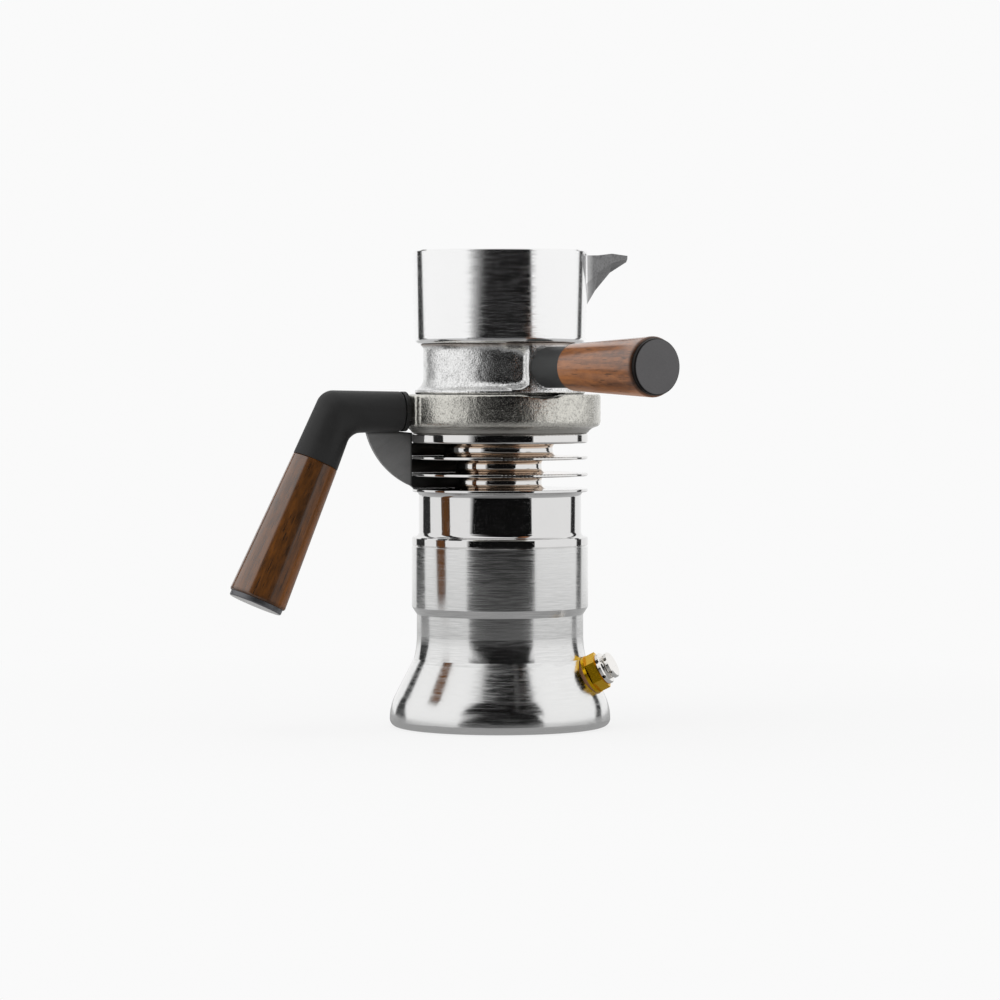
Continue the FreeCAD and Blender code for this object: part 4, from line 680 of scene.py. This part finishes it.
bpy.ops.object.select_all(action="DESELECT")
bpy.ops.mesh.primitive_circle_add(vertices=RING_SIDES, radius=ROOT_RADIUS, fill_type="NGON",
                                  location=arm_start, rotation=(0, math.radians(90), 0))
elbow = bpy.context.object
elbow.name = "rounded_elbow"
bpy.ops.object.transform_apply(location=True, rotation=True, scale=True)
bpy.ops.object.mode_set(mode="EDIT")
bpy.ops.mesh.select_all(action="SELECT")
stretch = 1 / math.cos(MITRE)
widen = BEND_RADIUS / ROOT_RADIUS
next_ring(bend - arm_start, widen, widen * stretch, MITRE, bend)
bpy.ops.mesh.extrude_region_move(TRANSFORM_OT_translate={"value": leg_end - bend})
bpy.ops.transform.rotate(value=MITRE, orient_axis="Y", center_override=leg_end)
widen = GRIP_RADIUS / BEND_RADIUS
bpy.ops.transform.resize(value=(1, widen, widen / stretch), center_override=leg_end)
bpy.ops.transform.rotate(value=-2 * MITRE, orient_axis="Y", center_override=leg_end)

mitre_way = (Vector((1, 0, 0)) + leg_way).normalized()


def on_plane(at, way):
    """A test for edges that lie in the plane through a point, across a direction."""
    return lambda edge, mesh: all(abs((mesh.vertices[i].co - at).dot(way)) < ON_PLANE
                                  for i in edge.vertices)


for at, way, soft, steps in ((bend, mitre_way, CORNER_SOFTNESS, 8),
                             (arm_start, Vector((1, 0, 0)), ROOT_EDGE, 4),
                             (leg_end, leg_way, END_EDGE, 2)):
    pick(elbow, "edges", on_plane(at, way))
    bpy.ops.mesh.bevel(offset=soft, segments=steps, affect="EDGES")
bpy.ops.mesh.select_all(action="SELECT")
bpy.ops.mesh.normals_make_consistent(inside=False)
bpy.ops.object.mode_set(mode="OBJECT")
elbow.rotation_euler.z = ARM_TURN
bpy.ops.object.transform_apply(location=True, rotation=True, scale=True)
bpy.ops.object.shade_smooth_by_angle(angle=math.radians(25))
dress(elbow, black_coat, "main_body", "black_coat", "handle_elbow")

# %% [markdown]
# ## Castings
# The clamp ring and the collector's neck come out of a sand mould. Their edges are never sharp,
# their faces are never flat, and where the boss meets the neck the metal flows round in a soft
# corner. A copy of the solid is rebuilt from small even faces, its skin is smoothed, and a
# cloud texture moves the skin in and out by a tenth of a millimetre. Only the outer skin is
# treated: the bayonet, the thread and the seats inside are machined on the real castings.

# %% Cast copies
MERGE_WITHIN = 0.000002
CAST_FACE = 0.00062
SOFTEN_STEP = 0.5
LUMP = 0.0035
LUMP_DEPTH = 0.00022


def copy_of(node, name):
    """A separate object with a merged copy of a solid's mesh."""
    piece = bpy.data.objects.new(name, nodes[node].data.copy())
    bpy.context.scene.collection.objects.link(piece)
    only(piece)
    bpy.ops.object.mode_set(mode="EDIT")
    bpy.ops.mesh.select_all(action="SELECT")
    bpy.ops.mesh.remove_doubles(threshold=MERGE_WITHIN)
    bpy.ops.object.mode_set(mode="OBJECT")
    return piece


def weigh(piece, name, weight_at):
    """A vertex group whose weights come from a function of each point."""
    group = piece.vertex_groups.new(name=name)
    for vertex in piece.data.vertices:
        weight = weight_at(vertex.co)
        if weight > 0:
            group.add([vertex.index], weight, "REPLACE")
    return name


def ramp(value, low, high):
    return min(1.0, max(0.0, (value - low) / (high - low)))


def modify(piece, kind, **settings):
    """Add a modifier of a kind, set it up and apply it."""
    only(piece)
    modifier = piece.modifiers.new(kind.lower(), kind)
    for key, value in settings.items():
        setattr(modifier, key, value)
    bpy.ops.object.modifier_apply(modifier=modifier.name)


def remesh(piece):
    modify(piece, "REMESH", mode="VOXEL", voxel_size=CAST_FACE)


def soften(piece, group, rounds):
    modify(piece, "SMOOTH", factor=SOFTEN_STEP, iterations=rounds, vertex_group=group)


def dent(piece, group):
    """Move the skin in and out by a cloud texture."""
    clouds = bpy.data.textures.new(piece.name + "_clouds", "CLOUDS")
    clouds.noise_scale = LUMP
    clouds.noise_depth = 2
    modify(piece, "DISPLACE", texture=clouds, texture_coords="LOCAL", strength=LUMP_DEPTH,
           mid_level=0.5, vertex_group=group)


# %% Cast ring
RING_SKIN = (0.0415, 0.0435)

ring = copy_of("clamp_ring", "cast_clamp_ring")
remesh(ring)
skin = weigh(ring, "skin", lambda point: ramp(math.hypot(point.x, point.y), *RING_SKIN))
soften(ring, skin, 5)
dent(ring, skin)
bpy.ops.object.shade_smooth()
dress(ring, ring_steel, "main_body", "cast_steel", "clamp_ring")

# %% [markdown]
# The neck also has a flat window between two bosses, with a raised and rounded border. Points of
# the skin that lie behind the border are moved out to it before the skin is softened. Both masks
# measure a point's side step from the line through the boss, which the collector's arm follows.

# %% Cast neck
NECK_FOOT = 0.1556
NECK_BOTTOM = 0.1603
NECK_SKIN = (0.0325, 0.0340)
SKIN_FADE = 0.0010
BOSS_EDGE = (0.0096, 0.0102)
BOSS_REACH = 0.0260
BOSS_FADE = 0.006
BOSS_TOP = 0.1774
BOSS_SIDE = 0.0097
NECK_RADIUS = 0.0355
SKIN_SLACK = 0.0004
BORDER_RADIUS = 0.0395
WINDOW_LOW = 0.1575
WINDOW_TOP = 0.1758
WINDOW_CORNER = 0.0050
WINDOW_SLOPE = 0.0017
WINDOW_REACH = 0.012
WINDOW_FADE = 0.004
neck = copy_of("collector_neck", "cast_neck")
remesh(neck)


def neck_skin(point):
    outside = ramp(math.hypot(point.x, point.y), *NECK_SKIN)
    return outside * ramp(point.z, NECK_BOTTOM, NECK_BOTTOM + SKIN_FADE)


def beside_boss(point):
    """How far a point lies to the side of the line through the boss, and if it faces the boss."""
    turn = math.atan2(point.y, point.x) - COLLECTOR_TURN
    return abs(math.hypot(point.x, point.y) * math.sin(turn)), math.cos(turn) > 0


def near_boss(point):
    """The soft corners between the boss and the neck, but not the boss's own seat."""
    side, facing = beside_boss(point)
    return neck_skin(point) * ramp(side, *BOSS_EDGE) * ramp(BOSS_REACH - side, 0, BOSS_FADE) * (
        ramp(BOSS_TOP - point.z, 0, SKIN_FADE) if facing else 0.0)


def window_border(point):
    """How far out the rounded border of the window beside the boss lifts the skin, from 0 to 1."""
    side, facing = beside_boss(point)
    side -= BOSS_SIDE
    up = (WINDOW_TOP - WINDOW_LOW) / 2 - abs(point.z - (WINDOW_TOP + WINDOW_LOW) / 2)
    past = math.hypot(max(0.0, WINDOW_CORNER - side), max(0.0, WINDOW_CORNER - up))
    near = ramp(WINDOW_REACH - side, 0, WINDOW_FADE) if facing and point.z > NECK_FOOT else 0.0
    share = ramp(past, WINDOW_CORNER - WINDOW_SLOPE, WINDOW_CORNER + WINDOW_SLOPE)
    return near * share * share * (3 - 2 * share)


for vertex in neck.data.vertices:
    point = vertex.co
    out = math.hypot(point.x, point.y)
    wanted = NECK_RADIUS + (BORDER_RADIUS - NECK_RADIUS) * window_border(point)
    if NECK_RADIUS - SKIN_SLACK < out < wanted:
        point.x, point.y = point.x * wanted / out, point.y * wanted / out
soften(neck, weigh(neck, "corner", near_boss), 24)
skin = weigh(neck, "skin", neck_skin)
soften(neck, skin, 4)
dent(neck, skin)
bpy.ops.object.shade_smooth()
dress(neck, neck_steel, "collector", "cast_steel", "collector_neck")

# %% [markdown]
# ## The guard
# The solid guard keeps half a millimetre of air round the fins and under the elbow. The pressed
# sheet of the real one is bent until it touches, so no daylight shows there. A copy of the solid
# is taken, and the edges that look into those gaps are moved up to the metal.

# %% Guard without daylight
GUARD_TOP = 0.1359
TOP_NEAR = 0.0001
TOP_FROM = 0.0425
TOP_LIFT = 0.0007
FIN_SIDE = 0.0410
SIDE_NEAR = 0.0004
SIDE_SHIFT = 0.00022
NOTCH_OUT = 0.0415
FIN_FACES = ((0.1085, 0.1102), (0.1161, 0.1175), (0.1239, 0.1253), (0.1313, 0.1359))
SLOT = 0.0008
NEAR = 0.00005

guard = copy_of("hand_guard", "close_guard")
for vertex in guard.data.vertices:
    point = vertex.co
    out = math.hypot(point.x, point.y)
    if abs(point.z - GUARD_TOP) < TOP_NEAR and out > TOP_FROM:
        point.z += TOP_LIFT
    if abs(out - FIN_SIDE) < SIDE_NEAR:
        point.x, point.y = (part * (1 - SIDE_SHIFT / out) for part in (point.x, point.y))
    for low, high in FIN_FACES:
        if out < NOTCH_OUT and low - SLOT < point.z < low:
            point.z = low - NEAR
        elif out < NOTCH_OUT and high < point.z < high + SLOT:
            point.z = high + NEAR
only(guard)
bpy.ops.object.shade_smooth_by_angle(angle=math.radians(30))
dress(guard, guard_black, "main_body", "guard_black", "hand_guard")

# %% [markdown]
# ## Springs
# Two coil springs sit inside: one holds the pressure valve's poppet down, the other the relief
# valve's plunger. A copy of each spring is made with a mesh of its own, and it takes the place of
# the solid.

# %% Springs
RELIEF_WAY = Vector((0.852074, -0.260505, 0.45399))
SPRINGS = (("valve_spring", "main_body", "poppet_lift", Vector((0, 0, 1)), 0.0885, 0.1144),
           ("relief_valve_spring", "base", "relief_lift", RELIEF_WAY, 0.05022, 0.05772))

for node, body, joint, way, free_end, fixed_end in SPRINGS:
    spring = copy_of(node, "squeezed_" + node)
    bpy.ops.object.shade_smooth_by_angle(angle=math.radians(40))
    dress(spring, inner_steel, body, "inner_steel", node)
    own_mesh(spring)

# %% [markdown]
# ## The floor
# The maker stands on a pale table that runs on into a white studio. Near the maker the floor is
# matt and keeps the shadow, and it glows a little, so that it stays as white as the room. Further
# out it turns into the room's own white, so no horizon shows. Steel mirrors another floor, painted
# grey as shade, with a darker painted wedge in front, where the wide flag stands.

# %% Floor
FLOOR_SIZE = 8.0
FLOOR_DROP = 0.0002
WHITE = 0.955
WHITE_FROM = (0.14, 0.46)
GREY_FROM = (0.05, 0.30)
LIT_FROM = (0.60, 1.20)
WEDGE_SIDE = (-0.03, -0.07)
WEDGE_AHEAD = (-0.05, -0.12)

bpy.ops.object.select_all(action="DESELECT")
bpy.ops.mesh.primitive_plane_add(size=FLOOR_SIZE, location=(0, 0, -FLOOR_DROP))
floor = bpy.context.object
floor.name = "floor"
bpy.ops.object.transform_apply(location=True)


def pale_floor():
    finish = Finish("pale_floor")
    away = length(finish, coordinates(finish))
    near = finish.node("ShaderNodeBsdfPrincipled", {}, {
        "Base Color": (0.17, 0.17, 0.17, 1), "Roughness": 0.6, "Specular IOR Level": 0.0,
        "Emission Color": (1, 1, 1, 1), "Emission Strength": 0.78})
    white = finish.node("ShaderNodeEmission", {}, {"Color": (WHITE, WHITE, WHITE, 1)})
    far = band(finish, away, *WHITE_FROM)
    seen = finish.node("ShaderNodeMixShader", {}, {0: far, 1: near, 2: white})
    # Painted shade, seen only in mirrors: grey near the maker, darker in a wedge in front.
    mirrored_shade = mix(finish, band(finish, away, *GREY_FROM), (0.34,) * 3, (0.50,) * 3)
    side = abs(part_of(finish, "X"))
    ahead = part_of(finish, "Y")
    wedge = band(finish, side + ahead, *WEDGE_SIDE) * band(finish, ahead, *WEDGE_AHEAD)
    mirrored_shade = mix(finish, wedge, mirrored_shade, (0.20,) * 3)
    grey = mix(finish, band(finish, away, *LIT_FROM), mirrored_shade, (WHITE,) * 3)
    shaded = finish.node("ShaderNodeEmission", {}, {"Color": grey})
    mirrored = finish.node("ShaderNodeLightPath", output="Is Glossy Ray")
    blend = finish.node("ShaderNodeMixShader", {}, {0: mirrored, 1: seen, 2: shaded})
    finish.node("ShaderNodeOutputMaterial", {}, {"Surface": blend})
    return finish.material


floor.data.materials.append(pale_floor())
floor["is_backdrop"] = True
print("floor", FLOOR_SIZE, "m wide")

# %% [markdown]
# ## Studio
# Polished metal shows the room and hardly anything of its own. The room here is a white tent: the
# world is white to eyes and mirrors, and a little lower for matt surfaces. What draws the maker's
# dark bands are black flags that stand in the tent, as a photographer sets them. They are seen by
# mirrors alone. The wide ones hang in front of the lens, one above another, and make the dark
# band down the middle, which a grey strip lightens. The narrow ones behind make the thin lines
# along both outlines.

# %% World
world = bpy.data.worlds.new("white_tent")
bpy.context.scene.world = world
world.use_nodes = True
world.node_tree.nodes.clear()


class Room(Finish):
    """The world's node tree, built with the same wires."""

    def __init__(self, tree):
        self.tree = tree


MATT_LIGHT = 0.80

room = Room(world.node_tree)
path = room.node("ShaderNodeLightPath").socket.node
seen = (Wire(room, path.outputs["Is Camera Ray"]) + Wire(room, path.outputs["Is Glossy Ray"])
        + Wire(room, path.outputs["Is Transmission Ray"]))
bright = room.node("ShaderNodeBackground", {}, {"Color": (1, 1, 1, 1), "Strength": WHITE})
soft = room.node("ShaderNodeBackground", {}, {"Color": (1, 1, 1, 1), "Strength": MATT_LIGHT})
both = room.node("ShaderNodeMixShader", {}, {0: seen, 1: soft, 2: bright})
room.node("ShaderNodeOutputWorld", {}, {"Surface": both})
print("world:", world.name)

# %% Lamps
def soft_lamp(name, place, size, power):
    """A square area lamp that looks at the middle of the maker."""
    bpy.ops.object.light_add(type="AREA", location=place)
    lamp = bpy.context.object
    lamp.name = name
    lamp.data.shape = "SQUARE"
    lamp.data.size = size
    lamp.data.energy = power
    lamp.rotation_euler = (AIM - Vector(place)).to_track_quat("-Z", "Y").to_euler()
    lamp.visible_glossy = False
    return lamp


soft_lamp("top_lamp", (-0.35, -0.25, 1.30), 0.9, 3.0)
soft_lamp("side_lamp", (-1.10, -0.70, 0.60), 0.7, 2.5)

# %% [markdown]
# A flag is a plane that only mirrors see. It may lean, so it has one pair of edges at its foot and
# one at its head, and the shader cuts the plane along them. Its shade fades at both sides, because
# a real flag is out of the lens's focus and its edge is never quite sharp. Each pair is left and
# right, first at the foot and then at the head.

# %% Flags
def flag_finish(name, shade, tall, foot, head, fades):
    """Dark between two leaning edges and clear outside them."""
    finish = Finish(name)
    across = part_of(finish, "X")
    climb = part_of(finish, "Y") * (1 / tall) + 0.5
    left, right, left_fade, right_fade = (
        climb * (top - low) + low for low, top in zip(foot + fades[0], head + fades[1]))
    clear_left = band(finish, across - left, 0.0, left_fade, 1.0, 0.0)
    clear_right = band(finish, right - across, 0.0, right_fade, 1.0, 0.0)
    outside = clear_left.maths("MAXIMUM", clear_left, clear_right)
    dark = finish.node("ShaderNodeEmission", {}, {"Color": (*shade, 1)})
    clear = finish.node("ShaderNodeBsdfTransparent")
    blend = finish.node("ShaderNodeMixShader", {}, {0: outside, 1: dark, 2: clear})
    finish.node("ShaderNodeOutputMaterial", {}, {"Surface": blend})
    return finish.material


def flag(name, turn, distance, low, high, foot, head, fades, shade):
    """A flag that faces the maker: turn is in degrees round it, from the lens towards +X."""
    angle = math.radians(turn)
    half = max(abs(edge) for edge in foot + head)
    bpy.ops.object.select_all(action="DESELECT")
    bpy.ops.mesh.primitive_plane_add(size=1, location=(0, 0, 0))
    card = bpy.context.object
    card.name = name
    card.scale = (2 * half, high - low, 1)
    bpy.ops.object.transform_apply(scale=True)
    card.rotation_euler = (math.radians(90), 0, angle)
    card.location = (math.sin(angle) * distance, -math.cos(angle) * distance, (low + high) / 2)
    card.data.materials.append(flag_finish(name + "_cloth", shade, high - low, foot, head, fades))
    card.visible_camera = False
    card.visible_diffuse = False
    card.visible_shadow = False
    card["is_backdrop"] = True
    print(name, "at", tuple(round(v, 2) for v in card.location))


BLACK = (0.004,) * 3
FADED = (0.030,) * 3
GREY = (0.065,) * 3

flag("front_flag", 2.5, 0.62, 0.0, 0.27, (-0.66, 0.60), (-0.55, 0.48),
     ((0.02, 0.02), (0.42, 0.06)), BLACK)
flag("high_flag", 2.5, 0.62, 0.27, 0.60, (-0.66, 0.63), (-0.58, 0.62),
     ((0.10, 0.05), (0.16, 0.04)), BLACK)
flag("top_flag", 2.5, 0.62, 0.60, 1.30, (-0.58, 0.62), (0.28, 0.42),
     ((0.16, 0.04), (0.06, 0.03)), BLACK)
flag("grey_strip", 2.5, 0.60, 0.42, 1.30, (0.14, 0.20), (0.27, 0.48),
     ((0.03, 0.03), (0.05, 0.04)), GREY)
flag("left_flag", -131.5, 0.80, 0.0, 0.30, (-0.12, 0.30), (-0.085, 0.095),
     ((0.03, 0.03), (0.03, 0.03)), FADED)
flag("left_high_flag", -131.5, 0.80, 0.30, 0.75, (-0.12, 0.14), (-0.42, -0.20),
     ((0.03, 0.03), (0.03, 0.03)), FADED)
flag("right_flag", 129.0, 0.80, 0.0, 0.70, (-0.22, 0.01), (0.25, 0.40),
     ((0.04, 0.04), (0.03, 0.03)), FADED)

# %% [markdown]
# ## Sizes
# The dressed maker must not outgrow the solid one, so both boxes are printed.

# %% Sizes
visual_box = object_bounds()
for word, box in (("cad", cad_box), ("visual", visual_box)):
    print(word, [round((high - low) * 1000, 2) for low, high in zip(*box)], "mm")
